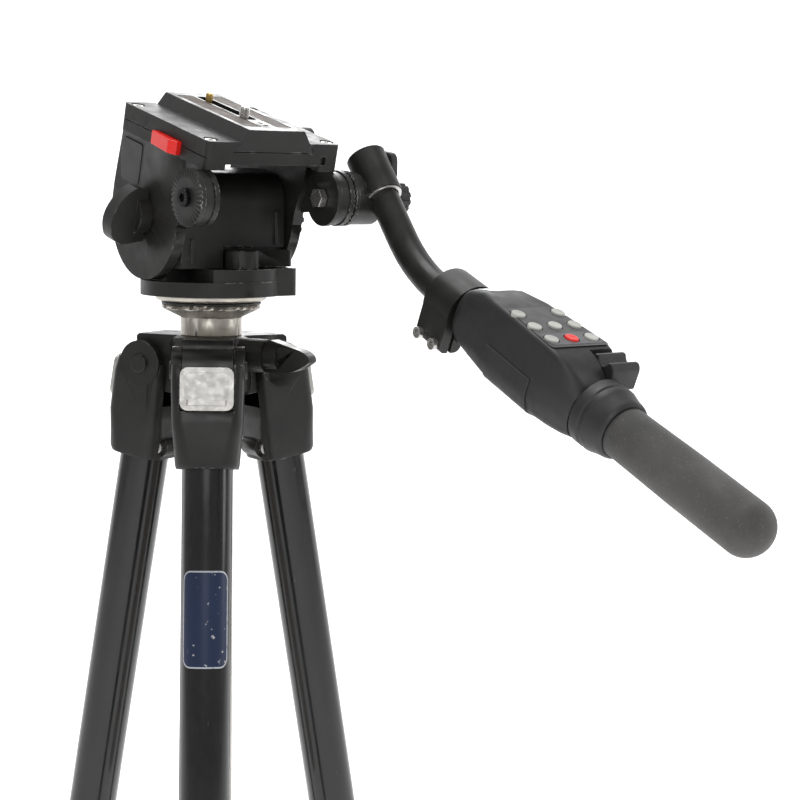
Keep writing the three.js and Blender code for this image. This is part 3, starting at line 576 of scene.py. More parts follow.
@dataclass(frozen=True)
class Film:
    """A printed film that is worn through in spots and along its edge."""

    name: str
    colour: Point3
    worn: Point3 = (0.45, 0.45, 0.45)
    start: float = 0.66

    def material(self) -> bpy.types.Material:
        """Builds the material."""
        n = Nodes(self.name)
        spots = n.spread(n.noise(330, 8), self.start, self.start + 0.05, 0, 0.85)
        shade = n.blend(n.noise(40, 3), self.colour, tuple(0.6 * c for c in self.colour))
        n.surface(Base_Color=n.blend(spots, shade, self.worn))
        n.surface(Roughness=n.spread(spots, 0, 1, 0.3, 0.6))
        n.bump(spots, 0.3, 0.00006)
        return n.material


class Finish(Enum):
    """Every finish on the object."""

    CASTING = Paint("casting_paint")
    HANDLE = Paint("handle_paint", wear=0.3, rough=0.36)
    PLATE = Paint("plate_paint", dark=(0.016, 0.016, 0.0155), wear=0.95, rough=0.36)
    TUBE = Anodised("tube_anodising")
    ALLOY = Bright("turned_alloy", (0.5, 0.47, 0.42), 0.36, (1, 1, 16))
    TAB = Bright("worn_tab", (0.46, 0.45, 0.43), 0.44, (1, 1, 1), 0.2)
    STEEL = Bright("bare_steel", (0.5, 0.49, 0.47), 0.24, (1, 1, 10))
    BLACK_STEEL = Bright("blackened_steel", (0.025, 0.025, 0.025), 0.22, (1, 1, 4), 0.1)
    BRASS = Bright("turned_brass", (0.62, 0.42, 0.14), 0.26, (1, 1, 10))
    RED = Moulded("red_plastic", (0.72, 0.012, 0.008), 0.3, 0.06, 0.3)
    CHARCOAL = Moulded("charcoal_plastic", (0.0125, 0.0125, 0.013), 0.5, 0.22)
    PANEL = Moulded("panel_plastic", (0.03, 0.03, 0.032), 0.42, 0.1)
    BAND = Moulded("grey_band", (0.07, 0.07, 0.075), 0.45, 0.08)
    KEY = Moulded("key_plastic", (0.38, 0.38, 0.35), 0.45, 0.05, 0.6)
    GRIP = Rubber("grip_rubber")
    FOOT = Rubber("foot_rubber", (0.014, 0.014, 0.014), (0.05, 0.047, 0.043))
    STRIP = Rubber("strip_rubber", (0.052, 0.033, 0.022), (0.1, 0.075, 0.055))
    BLUE = Film("blue_film", (0.006, 0.018, 0.06))
    WHITE = Film("pale_film", (0.5, 0.52, 0.56), (0.2, 0.2, 0.22), 0.6)
    ORANGE = Moulded("orange_sleeve", (0.7, 0.16, 0.02), 0.4, 0.02)
    YELLOW = Moulded("yellow_sleeve", (0.6, 0.45, 0.05), 0.4, 0.02)


MATERIALS: dict[Finish, bpy.types.Material] = {}


def material_of(finish: Finish) -> bpy.types.Material:
    """The one material of a finish, built when it is first asked for."""
    if finish not in MATERIALS:
        MATERIALS[finish] = finish.value.material()
    return MATERIALS[finish]


# ---- putting a piece in its place --------------------------------------------------------------
@dataclass(frozen=True)
class Seat:
    """Where pieces are built and what carries them.

    Attributes:
        matrix: From the seat's own axes to the row frame.
        body: The body that the pieces ride on.
    """

    matrix: Matrix
    body: str

    def carried_by(self, body: str) -> Seat:
        """The same place with another body."""
        return Seat(self.matrix, body)


def polish(piece: bpy.types.Object, edge: float, segments: int, crease: float = 30.0) -> None:
    """Rounds a piece's sharp edges and smooths what is round.

    Args:
        piece: The piece, in millimetres.
        edge: The width of the rounding.
        segments: How many facets the rounding gets.
        crease: The angle in degrees above which an edge stays crisp.
    """
    pick(piece)
    if edge > 0:
        bevel = piece.modifiers.new("edges", "BEVEL")
        bevel.width = edge
        bevel.segments = segments
        bevel.limit_method = "ANGLE"
        bevel.angle_limit = math.radians(crease)
        bevel.miter_outer = "MITER_ARC"
        bpy.ops.object.modifier_apply(modifier=bevel.name)
    bpy.ops.object.shade_smooth_by_angle(angle=math.radians(crease + 6))
    weight = piece.modifiers.new("faces", "WEIGHTED_NORMAL")
    weight.keep_sharp = True
    bpy.ops.object.modifier_apply(modifier=weight.name)


def settle(
    piece: bpy.types.Object,
    name: str,
    seat: Seat,
    finish: Finish,
    slot: str,
    *nodes: str,
    edge: float = 0.6,
    segments: int = 3,
) -> bpy.types.Object:
    """Finishes a piece and gives it its place, its body and its looks.

    Args:
        piece: The piece, in millimetres in the seat's frame.
        name: Its name.
        seat: Where it goes and what carries it.
        finish: What it looks like.
        slot: The record's material slot; not used.
        nodes: The solids of the frame that it stands for.
        edge: How far its edges are rounded, in millimetres.
        segments: How many facets the rounding has.

    Returns:
        The finished piece.
    """
    polish(piece, edge, segments)
    moved(piece, seat.matrix @ Matrix.Scale(MM, 4))
    piece.name = name
    piece.data.name = name
    piece.data.materials.clear()
    piece.data.materials.append(material_of(finish))
    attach(piece, seat.body)
    if nodes:
        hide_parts(*nodes)
    LOG.info("%s rides on %s: %d faces", name, seat.body, len(piece.data.polygons))
    return piece


def socket_screw(radius: float, height: float) -> bpy.types.Object:
    """A cap screw's head, standing on z = 0, with a hexagon socket."""
    head = rod(Axis.Z, 0, height, radius, sides=40)
    return carve(head, rod(Axis.Z, height * 0.35, height + 1, radius * 0.52, sides=6))


def toothed_disc(radius: float, depth: float, teeth: int, bite: float) -> bpy.types.Object:
    """A disc on z = 0 whose upper rim has radial teeth.

    Args:
        radius: The disc's radius.
        depth: Its thickness.
        teeth: How many teeth go round.
        bite: How deep the valleys are.

    Returns:
        The new object.
    """
    made = rod(Axis.Z, 0, depth, radius, sides=2 * teeth)
    with editing(made):
        bpy.ops.mesh.select_mode(type="FACE")
        bpy.ops.mesh.select_all(action="DESELECT")
        bpy.ops.object.mode_set(mode="OBJECT")
        for face in made.data.polygons:
            face.select = face.normal.z > 0.9 and face.center.z > depth * 0.9
        bpy.ops.object.mode_set(mode="EDIT")
        bpy.ops.mesh.inset(thickness=radius * 0.36)
        bpy.ops.mesh.select_mode(type="VERT")
    for vertex in made.data.vertices:
        x, y, z = vertex.co
        place = round(math.atan2(y, x) / math.pi * teeth)
        if z > depth * 0.9 and math.hypot(x, y) > radius * 0.9 and place % 2:
            vertex.co.z -= bite
    return made


@dataclass
class Frame:
    """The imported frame: joints by name, and what the pieces need to know of it."""

    loaded: dict

    def __post_init__(self) -> None:
        """Sorts the joints by name."""
        self.joints = {joint["name"]: joint for joint in self.loaded["joints"]}

    def point(self, joint: str) -> Vector:
        """A hinge's own point."""
        return Vector(self.joints[joint]["pos_m"])

    def axis(self, joint: str) -> Vector:
        """A joint's own axis."""
        return Vector(self.joints[joint]["axis"]).normalized()

    def mount_axis(self, name: str) -> Vector:
        """The outward normal of one of the record's mounts."""
        mounts = self.loaded["record"]["mounts"]
        return Vector(next(m["axis"] for m in mounts if m["name"] == name)).normalized()

    def seat(self, joint: str, body: str, x: Vector | None = None, z: Vector | None = None) -> Seat:
        """A seat on a hinge.

        Args:
            joint: The hinge whose point is the seat's zero.
            body: What carries the pieces.
            x: The seat's X direction, which is the row's if it isn't given.
            z: The seat's Z direction, which is the row's if it isn't given.

        Returns:
            The seat.
        """
        right = (x or Vector((1, 0, 0))).normalized()
        up = (z or Vector((0, 0, 1))).normalized()
        turn = Matrix((right, up.cross(right), up)).transposed().to_4x4()
        return Seat(Matrix.Translation(self.point(joint)) @ turn, body)


# ---- shoulder and column -----------------------------------------------------------------------
@dataclass
class Shoulder:
    """The casting that the legs hang on, the column that slides in it and the column's lock."""

    frame: Frame
    column_r: float = 13.5
    neck_r: float = 18.4
    hub_r: float = 24.5
    top: float = -20.5
    height: float = 36.0
    pivot_r: float = 38.0
    pivot_z: float = -38.5
    pin_r: float = 4.0
    nose_r: float = 14.3
    arm_half: float = 14.8
    ear: float = 6.35
    boss_reach: float = 40.0
    azimuths: tuple[float, float, float] = (-34.05, 85.95, -154.05)

    def build(self) -> None:
        """Builds the pieces of the shoulder and the column."""
        fixed = self.frame.seat("pan_turn", "shoulder")
        self.casting(fixed)
        self.lock()
        self.column(fixed.carried_by("column"))

    def arm(self, azimuth: float) -> bpy.types.Object:
        """One arm with its leg pin."""
        bottom = self.top - self.height
        outline = [(0, self.top), (-self.pivot_r - 4, self.top), (-self.pivot_r - 6, self.top - 1.5)]
        outline += arc((-self.pivot_r, self.pivot_z), self.nose_r, 115.2, 243, 20)
        outline += [(-self.hub_r * 0.7, bottom), (0, bottom)]
        made = slab(Axis.X, outline, -self.arm_half, self.arm_half)
        reach = self.arm_half + self.ear
        pin = rod(Axis.X, -reach, reach, self.pin_r, (-self.pivot_r, self.pivot_z), sides=32)
        return turned_about(unite(made, pin), Axis.Z, azimuth)

    def casting(self, seat: Seat) -> None:
        """The hub, its three arms and the boss of the lock."""
        bottom = self.top - self.height
        hub = [
            (0, bottom),
            (self.hub_r - 3, bottom),
            (self.hub_r, bottom + 3),
            (self.hub_r, self.top - 4),
            (self.hub_r - 1.2, self.top - 1.2),
            (self.hub_r - 4, self.top),
            (0, self.top),
        ]
        made = unite(turned(hub), *[self.arm(a) for a in self.azimuths])
        lock_way = (self.azimuths[0] + self.azimuths[1]) / 2
        boss = rod(Axis.Y, -self.boss_reach, 0, 10, (0, self.top - 11))
        hole = rod(Axis.Y, -self.boss_reach - 1, 0, 4 + GAP, (0, self.top - 11))
        made = unite(made, turned_about(boss, Axis.Z, lock_way))
        bore = rod(Axis.Z, bottom - 1, self.top + 1, self.column_r + GAP)
        made = carve(made, bore, turned_about(hole, Axis.Z, lock_way))
        settle(
            made, "shoulder_casting", seat, Finish.CASTING, "black_casting", "shoulder",
            edge=1.4, segments=4,
        )

    def lock(self) -> None:
        """The pointed wing that closes the column's clamp."""
        across = Vector((0, 0, 1)).cross(self.frame.axis("column_lock_turn"))
        seat = self.frame.seat("column_lock_turn", "column_lock", across)
        wing = bow((0, -9), (-18, -12), (-30, -2)) + bow((-30, -2), (-31, 3), (-21, 5.5))[1:]
        wing += [(-4, 10), (0, 9)]
        made = slab(Axis.X, wing, -4.5, 4.5)
        made = unite(made, rod(Axis.Y, -9, 0, 8.5), rod(Axis.Y, -1, 12, 4, sides=32))
        settle(
            made, "column_lock_wing", seat, Finish.CASTING, "black_casting", "column_lock_lever",
            edge=1.3, segments=4,
        )
        out = Matrix.Translation((0, -9, 0)) @ Matrix.Rotation(math.pi / 2, 4, "X")
        screw = moved(socket_screw(4.2, 3.2), out)
        settle(screw, "column_lock_screw", seat, Finish.BLACK_STEEL, "bare_steel", edge=0.25, segments=2)

    def column(self, seat: Seat) -> None:
        """The column tube, its cone, the black rim on it, the head's stud and the bright ring."""
        tube = carve(
            rod(Axis.Z, -337.95, -7.95, self.column_r),
            rod(Axis.Z, -339, -7, self.column_r - 2),
        )
        settle(tube, "column_sleeve", seat, Finish.ALLOY, "bright_alloy", "column_tube", edge=0.4)
        cone = turned(
            [
                (0, -20.15),
                (self.neck_r, -20.15),
                (self.neck_r, -9.9),
                (self.neck_r + 0.6, -9.3),
                (29, -4.6),
                (29.6, -3.9),
                (29.6, -1.6),
                (0, -1.6),
            ],
            128,
        )
        stud_hole = rod(Axis.Z, -21, 1, 4.7 + GAP)
        cone = carve(cone, rod(Axis.Z, -21, -7.6, self.column_r + GAP), stud_hole)
        settle(cone, "column_cone", seat, Finish.ALLOY, "bright_alloy", "column_top", edge=0.3)
        rim = turned([(6, -1.55), (30, -1.55), (30, -GAP), (6, -GAP)], 128)
        settle(rim, "cone_rim", seat, Finish.CASTING, "black_casting", edge=0.25)
        stud = unite(rod(Axis.Z, -13.9, 15, 4.7), rod(Axis.Z, -13.9, -7.96, 8, sides=6))
        settle(stud, "stud", seat, Finish.STEEL, "bare_steel", "head_stud", edge=0.4)
        ring = turned(
            [(5.05, GAP), (31.3, GAP), (32.8, 1.2), (33.5, 2.6), (33.5, 3.6), (5.05, 3.6)], 128
        )
        settle(ring, "swivel_ring", seat, Finish.ALLOY, "bright_alloy", "swivel_plate", edge=0.25)


# ---- legs --------------------------------------------------------------------------------------
@dataclass
class Leg:
    """One leg of three sections, built hanging straight down from its pin."""

    frame: Frame
    letter: str
    radii: tuple[float, float, float] = (14.8, 12.4, 10.0)
    wall: float = 1.5
    top: float = -26.0
    length: float = 505.0
    show: float = 30.0
    clamp: float = 44.0
    clamp_wall: float = 4.0
    drop: float = 58.0
    arm_half: float = 14.8
    ear: float = 6.0
    tab_h: float = 25.0
    tab_half: float = 15.5

    def build(self) -> None:
        """Builds the leg's pieces from the yoke down."""
        x = -self.frame.axis(f"leg_{self.letter}_swing")
        z = -self.frame.axis(f"mid_{self.letter}_slide")
        seat = self.frame.seat(f"leg_{self.letter}_swing", f"leg_{self.letter}", x, z)
        self.yoke(seat)
        self.tab(seat.carried_by(f"angle_tab_{self.letter}"))
        upper_end = self.top - self.length
        self.section(seat, "upper", 0, self.top, self.length)
        self.lever(seat.carried_by(f"upper_lever_{self.letter}"), "upper", 0, upper_end)
        middle = seat.carried_by(f"mid_{self.letter}")
        middle_end = upper_end - self.show - self.clamp
        self.section(middle, "mid", 1, middle_end + self.length - 30, self.length - 30)
        self.lever(seat.carried_by(f"lower_lever_{self.letter}"), "lower", 1, middle_end)
        self.foot(seat.carried_by(f"lower_{self.letter}"), middle_end - self.show)

    def yoke_ring(self, z: float, half: float, front: float, back: float, r: float) -> list[Vector]:
        """A rounded rectangle round the tube at one height."""
        flat = rounded((-half, -front), (half, back), r, 8)
        return [Vector((x, y, z)) for x, y in flat]

    def yoke_model(self) -> bpy.types.Object:
        """The collar with two ears that holds the leg on its pin."""
        r = self.radii[0] + 3.7
        inside = self.arm_half + GAP
        w = inside + self.ear
        body = lofted(
            [
                self.yoke_ring(-self.drop, r - 0.4, r - 0.8, r - 0.8, 11),
                self.yoke_ring(-self.drop + 2.5, r + 0.2, r, r - 0.5, 10.5),
                self.yoke_ring(-self.drop + 14, r + 1.0, r + 0.6, r - 0.7, 9),
                self.yoke_ring(-self.tab_h - 7, w - 0.6, r + 1.2, r - 1, 7),
                self.yoke_ring(-8, w, r + 1, r - 2, 6),
                self.yoke_ring(2, w, r - 1, r - 3, 5),
            ]
        )
        lug = slab(Axis.X, arc((15, -50), 6.5, -90, 90, 10) + [(5, -43.5), (5, -56.5)], -9, 9)
        body = unite(body, rod(Axis.X, -w, w, 14.0), lug)
        slot = block((-inside, -40, -24), (inside, 40, 30))
        bore = rod(Axis.Z, -self.drop - 1, self.top + 2, self.radii[0] + GAP)
        window = block((-self.tab_half - GAP, -r - 5, -self.tab_h - GAP), (self.tab_half + GAP, -15, 20))
        hole = rod(Axis.X, -w - 1, w + 1, 4 + GAP, sides=40)
        return carve(body, slot, bore, window, hole)

    def yoke(self, seat: Seat) -> None:
        """The yoke, its pinch bolts and the caps of its pin."""
        w = self.arm_half + GAP + self.ear
        body = modelled_once("yoke", self.yoke_model)
        name = f"yoke_casting_{self.letter}"
        settle(body, name, seat, Finish.CASTING, "black_casting", f"yoke_{self.letter}", edge=1.1, segments=4)
        for side in (-1, 1):
            turn = Matrix.Rotation(side * math.pi / 2, 4, "Y")
            pinch = modelled_once("pinch_bolt", lambda: socket_screw(3.9, 3.4))
            moved(pinch, Matrix.Translation((side * 9, 15, -50)) @ turn)
            mark = "in" if side < 0 else "out"
            settle(
                pinch, f"pinch_bolt_{mark}_{self.letter}", seat, Finish.STEEL, "bare_steel",
                edge=0.3, segments=2,
            )
            cap = moved(
                modelled_once("pin_cap", lambda: rod(Axis.Z, 0, 1.6, 6.2, end_radius=5.2, sides=48)),
                Matrix.Translation((side * w, 0, 0)) @ turn,
            )
            settle(cap, f"pin_cap_{mark}_{self.letter}", seat, Finish.CASTING, "black_casting", edge=0.4)

    def tab_model(self) -> bpy.types.Object:
        """The bright tab that is pulled out to spread the leg wider."""
        reach = self.radii[0] + 7.3
        made = slab(
            Axis.Y, rounded((-self.tab_half, -self.tab_h), (self.tab_half, 0), 4.5), -reach, -15 - GAP
        )
        lip = slab(Axis.Z, rounded((-11.5, -reach - 1), (11.5, -reach + 1), 0.9), -22, -19)
        panel = slab(Axis.Y, rounded((-12.5, -17.5), (12.5, -3), 2.5), -reach - 1, -reach + 0.6)
        return unite(carve(made, panel), lip)

    def tab(self, seat: Seat) -> None:
        """The tab in its place."""
        made = modelled_once("tab", self.tab_model)
        name = f"angle_stop_{self.letter}"
        settle(made, name, seat, Finish.TAB, "bright_alloy", f"angle_tab_{self.letter}", edge=0.7)

    def collar_model(self, size: int, top: float, length: float) -> bpy.types.Object:
        """The collar on a section's lower end, with the lugs of its lever.

        Args:
            size: Which of the three radii the section has.
            top: The height of its upper end.
            length: Its length with the collar.

        Returns:
            The collar.
        """
        r, inner = self.radii[size], self.radii[size + 1]
        bottom = top - length
        outer = r + self.clamp_wall
        collar = turned(
            [
                (inner + GAP, bottom),
                (outer - 1.5, bottom),
                (outer, bottom + 2),
                (outer, bottom + self.clamp - 3),
                (r + 0.8, bottom + self.clamp),
                (inner + GAP, bottom + self.clamp),
            ],
            72,
        )
        foot_print = rounded((-9, -outer - 9), (9, -outer + 6), 2.5)
        lugs = slab(Axis.Z, foot_print, bottom + 5, bottom + self.clamp - 8)
        bore = rod(Axis.Z, bottom - 1, top + 1, inner + GAP)
        gap = block((-4.4, -outer - 20, bottom + 4), (4.4, -outer + 0.6, bottom + self.clamp - 7))
        ribs = [
            turned([(outer - 0.5, z), (outer + 0.7, z + 0.7), (outer - 0.5, z + 1.4)], 72)
            for z in (bottom + 34, bottom + 37)
        ]
        pin = rod(Axis.X, -20, 20, 1.8, (-outer - 5, bottom + self.clamp - 16), sides=24)
        body = carve(unite(collar, lugs), bore, gap, pin)
        return unite(body, *ribs) if size == 0 else carve(body, *ribs)

    def barrel_model(self, bottom: float, top: float, radius: float) -> bpy.types.Object:
        """A tube between two heights, open at both ends."""
        return carve(
            rod(Axis.Z, bottom, top, radius, sides=96),
            rod(Axis.Z, bottom - 1, top + 1, radius - self.wall),
        )

    def section(self, seat: Seat, word: str, size: int, top: float, length: float) -> None:
        """A tube and the collar on its lower end.

        Args:
            seat: The leg's seat with the section's body.
            word: The section's name.
            size: Which of the three radii it has.
            top: The height of its upper end.
            length: Its length with the collar.
        """
        body = modelled_once(f"{word}_collar", lambda: self.collar_model(size, top, length))
        name = f"{word}_collar_{self.letter}"
        settle(body, name, seat, Finish.CHARCOAL, "black_plastic", edge=0.7)
        bottom = top - length + self.clamp + 0.05
        tube = modelled_once(f"{word}_barrel", lambda: self.barrel_model(bottom, top, self.radii[size]))
        node = f"{word}_tube_{self.letter}"
        settle(tube, f"{word}_barrel_{self.letter}", seat, Finish.TUBE, "black_tube", node, edge=0.35)

    def lever_model(self, size: int, bottom: float) -> bpy.types.Object:
        """The flip lever of a collar, hanging shut."""
        outer = self.radii[size] + self.clamp_wall
        side = arc((0, 0), 4.6, 0, 180, 14) + bow((-6.2, -12), (-6.6, -20), (-4.6, -25.5), 6)
        side += bow((-2.4, -25.5), (-1, -22), (-1.4, -8), 6) + [(3.4, -5)]
        made = unite(slab(Axis.X, side, -4, 4), rod(Axis.X, -8.6, 8.6, 1.45, sides=24))
        return shifted(made, 0, -outer - 5, bottom + self.clamp - 16)

    def lever(self, seat: Seat, word: str, size: int, bottom: float) -> None:
        """A collar's lever in its place."""
        made = modelled_once(f"{word}_lever", lambda: self.lever_model(size, bottom))
        name = f"{word}_flip_{self.letter}"
        settle(made, name, seat, Finish.CHARCOAL, "black_plastic", f"{word}_lever_{self.letter}", edge=0.7)

    def foot_model(self, end: float) -> bpy.types.Object:
        """The rubber foot, with grooves round it and a sole that lies level."""
        profile = [(0, end - 26), (11, end - 26), (13.4, end - 24), (14, end - 21)]
        for k in range(3):
            z = end - 19 + 4 * k
            profile += [(13.9, z), (12.9, z + 0.6), (12.9, z + 1.2), (13.7, z + 1.8)]
        profile += [(13, end - 6), (10.6, end - 1.6), (8.15, end - GAP), (8.15, end + 16), (0, end + 16)]
        foot = turned(profile, 72)
        level = turned_about(block((-60, -60, -60), (60, 60, 0)), Axis.X, 10)
        return carve(foot, shifted(level, 0, 0, end - 22.8))

    def foot(self, seat: Seat, end: float) -> None:
        """The lowest tube and its foot."""
        top = end + self.length - 60
        tube = modelled_once("lower_barrel", lambda: self.barrel_model(end, top, self.radii[2]))
        node = f"lower_tube_{self.letter}"
        settle(tube, f"lower_barrel_{self.letter}", seat, Finish.TUBE, "black_tube", node, edge=0.3)
        foot = modelled_once("foot", lambda: self.foot_model(end))
        settle(
            foot, f"foot_pad_{self.letter}", seat, Finish.FOOT, "foot_rubber", f"foot_{self.letter}",
            edge=0.3,
        )


@dataclass
class Sticker:
    """A plain worn band of film on the front leg."""

    frame: Frame
    letter: str = "a"
    radius: float = 14.95
    low: float = -173.0
    high: float = -117.0
    half_angle: float = 58.0

    def sheet(self, lift: float, margin: float) -> bpy.types.Object:
        """A patch of a tube with round corners, lifted off the leg."""
        half = math.radians(self.half_angle) * self.radius - margin
        flat = rounded((-half, self.low + margin), (half, self.high - margin), 6 - margin, 6)
        made = slab(Axis.Y, flat, 0, 0.12)
        with editing(made):
            bpy.ops.mesh.select_all(action="SELECT")
            for step in range(-9, 10):
                bpy.ops.mesh.select_all(action="SELECT")
                bpy.ops.mesh.bisect(plane_co=(step * half / 10, 0, 0), plane_no=(1, 0, 0))
        for vertex in made.data.vertices:
            x, depth, z = vertex.co
            angle = x / self.radius
            out = self.radius + lift - depth + 0.12
            vertex.co = (out * math.sin(angle), -out * math.cos(angle), z)
        return made

    def build(self) -> None:
        """Builds the band and its paler border."""
        x = -self.frame.axis(f"leg_{self.letter}_swing")
        z = -self.frame.axis(f"mid_{self.letter}_slide")
        seat = self.frame.seat(f"leg_{self.letter}_swing", f"leg_{self.letter}", x, z)
        settle(self.sheet(0.0, 0.0), "leg_band_border", seat, Finish.WHITE, "black_tube", edge=0)
        settle(self.sheet(0.06, 0.9), "leg_band", seat, Finish.BLUE, "black_tube", edge=0)


# ---- the head ------------------------------------------------------------------------------------
@dataclass
class PanUnit:
    """The part of the head that turns on the column: base, tilt housing and pan lock."""

    frame: Frame
    base_r: float = 42.5
    bottom: float = 4.0
    low_top: float = 12.8
    top: float = 20.5
    half: float = 35.8
    side_in: float = 36.8
    side_t: float = 6.6
    tilt_y: float = 6.0
    tilt_z: float = 52.0
    hub: Point2 = (2.0, -31.0)
    hub_r: float = 10.0

    def build(self) -> None:
        """Builds the base, the housing, the lock and the drag knob."""
        seat = self.frame.seat("pan_turn", "pan")
        self.base(seat)
        self.housing(seat)
        self.lock()
        self.drag_knob()

    def base(self, seat: Seat) -> None:
        """The round base with its raised front corner."""
        made = rod(Axis.Z, self.bottom, self.low_top, self.base_r, sides=128)
        corner = slab(Axis.Z, rounded((0, -34.5), (self.base_r - 2.5, -19), 4), self.bottom, self.top)
        high = rod(Axis.Z, self.bottom, self.top, self.base_r - 0.6, sides=128)
        window = unite(
            block((-21, -60, 0), (self.half, 60, 40)),
            block((-self.half, -8, 0), (self.half, 60, 40)),
        )
        high = join(Join.KEEP_COMMON, high, window)
        made = unite(made, corner, high)
        bore = rod(Axis.Z, 0, 16.5, 4.7 + GAP, sides=40)
        seat_hole = rod(Axis.Z, self.top - 8, 40, 3 + GAP, self.hub, sides=32)
        made = carve(made, bore, seat_hole)
        settle(made, "base_casting", seat, Finish.CASTING, "black_casting", "pan_base", edge=0.9, segments=4)

    def housing(self, seat: Seat) -> None:
        """The fixed block with the tilt axle through it."""
        z = self.tilt_z
        block_line = [(-25, self.top + GAP), (34, self.top + GAP)]
        block_line += arc((self.tilt_y, z), 28, 0, 90, 24)
        block_line += bow((-14, z + 25), (-24, z + 20), (-25, z + 8), 12)
        body = slab(Axis.X, block_line, -self.half, self.half)
        pocket = rod(Axis.Z, self.top - 1, self.top + 13, self.hub_r + 1.2, self.hub)
        arm_slot = block((0, -60, self.top - 1), (60, -21.5, self.top + 12.5))
        body = carve(body, pocket, arm_slot)
        ribs = [
            slab(Axis.Z, rounded((x - 1.6, -26.6), (x + 1.6, -20), 1.2), low, high)
            for x, low, high in (
                (self.half - 6, self.top + 14, z + 2),
                (-self.half + 7, self.top + 3, z - 14),
            )
        ]
        body = unite(body, *ribs)
        reach = self.half + self.side_t + 6
        body = unite(body, rod(Axis.X, -reach, reach, 9, (self.tilt_y, z)))
        settle(
            body, "housing_casting", seat, Finish.CASTING, "black_casting", "tilt_housing",
            edge=1.0, segments=4,
        )

    def lock(self) -> None:
        """The pan lock: a round hub and a flat arm."""
        seat = self.frame.seat("pan_lock_turn", "pan_lock")
        r = self.hub_r
        made = turned([(0, 0), (r, 0), (r, 9.6), (r - 0.5, 10.6), (r - 1.8, 11.4), (0, 11.4)])
        reach = self.half - self.hub[0]
        line = [(4, -5), (reach - 2.3, -4.6), (reach, -2), (reach, 3), (reach - 2.8, 4.5), (4, 4.5)]
        arm = slab(Axis.Z, softened(line, 2), 0.8, 10.6)
        made = unite(made, arm, rod(Axis.Z, -7, 1, 3, sides=32))
        settle(
            made, "pan_lock_arm", seat, Finish.CASTING, "black_casting", "pan_lock_lever",
            edge=1.0, segments=4,
        )

    def drag_knob(self) -> None:
        """The fluted knob on the right end of the tilt axle."""
        seat = self.frame.seat("tilt_drag_turn", "tilt_drag")
        out = self.side_in + self.side_t
        made = rod(Axis.X, out + 1, out + 16, 18, sides=96)
        flutes = [
            turned_about(rod(Axis.X, out + 4, out + 17, 2.4, (0, 18.6), sides=24), Axis.X, 22.5 * i)
            for i in range(16)
        ]
        made = carve(made, rod(Axis.X, out - 1, out + 7, 9 + GAP), *flutes)
        settle(made, "drag_knob", seat, Finish.CHARCOAL, "black_plastic", "tilt_drag_knob", edge=0.8)


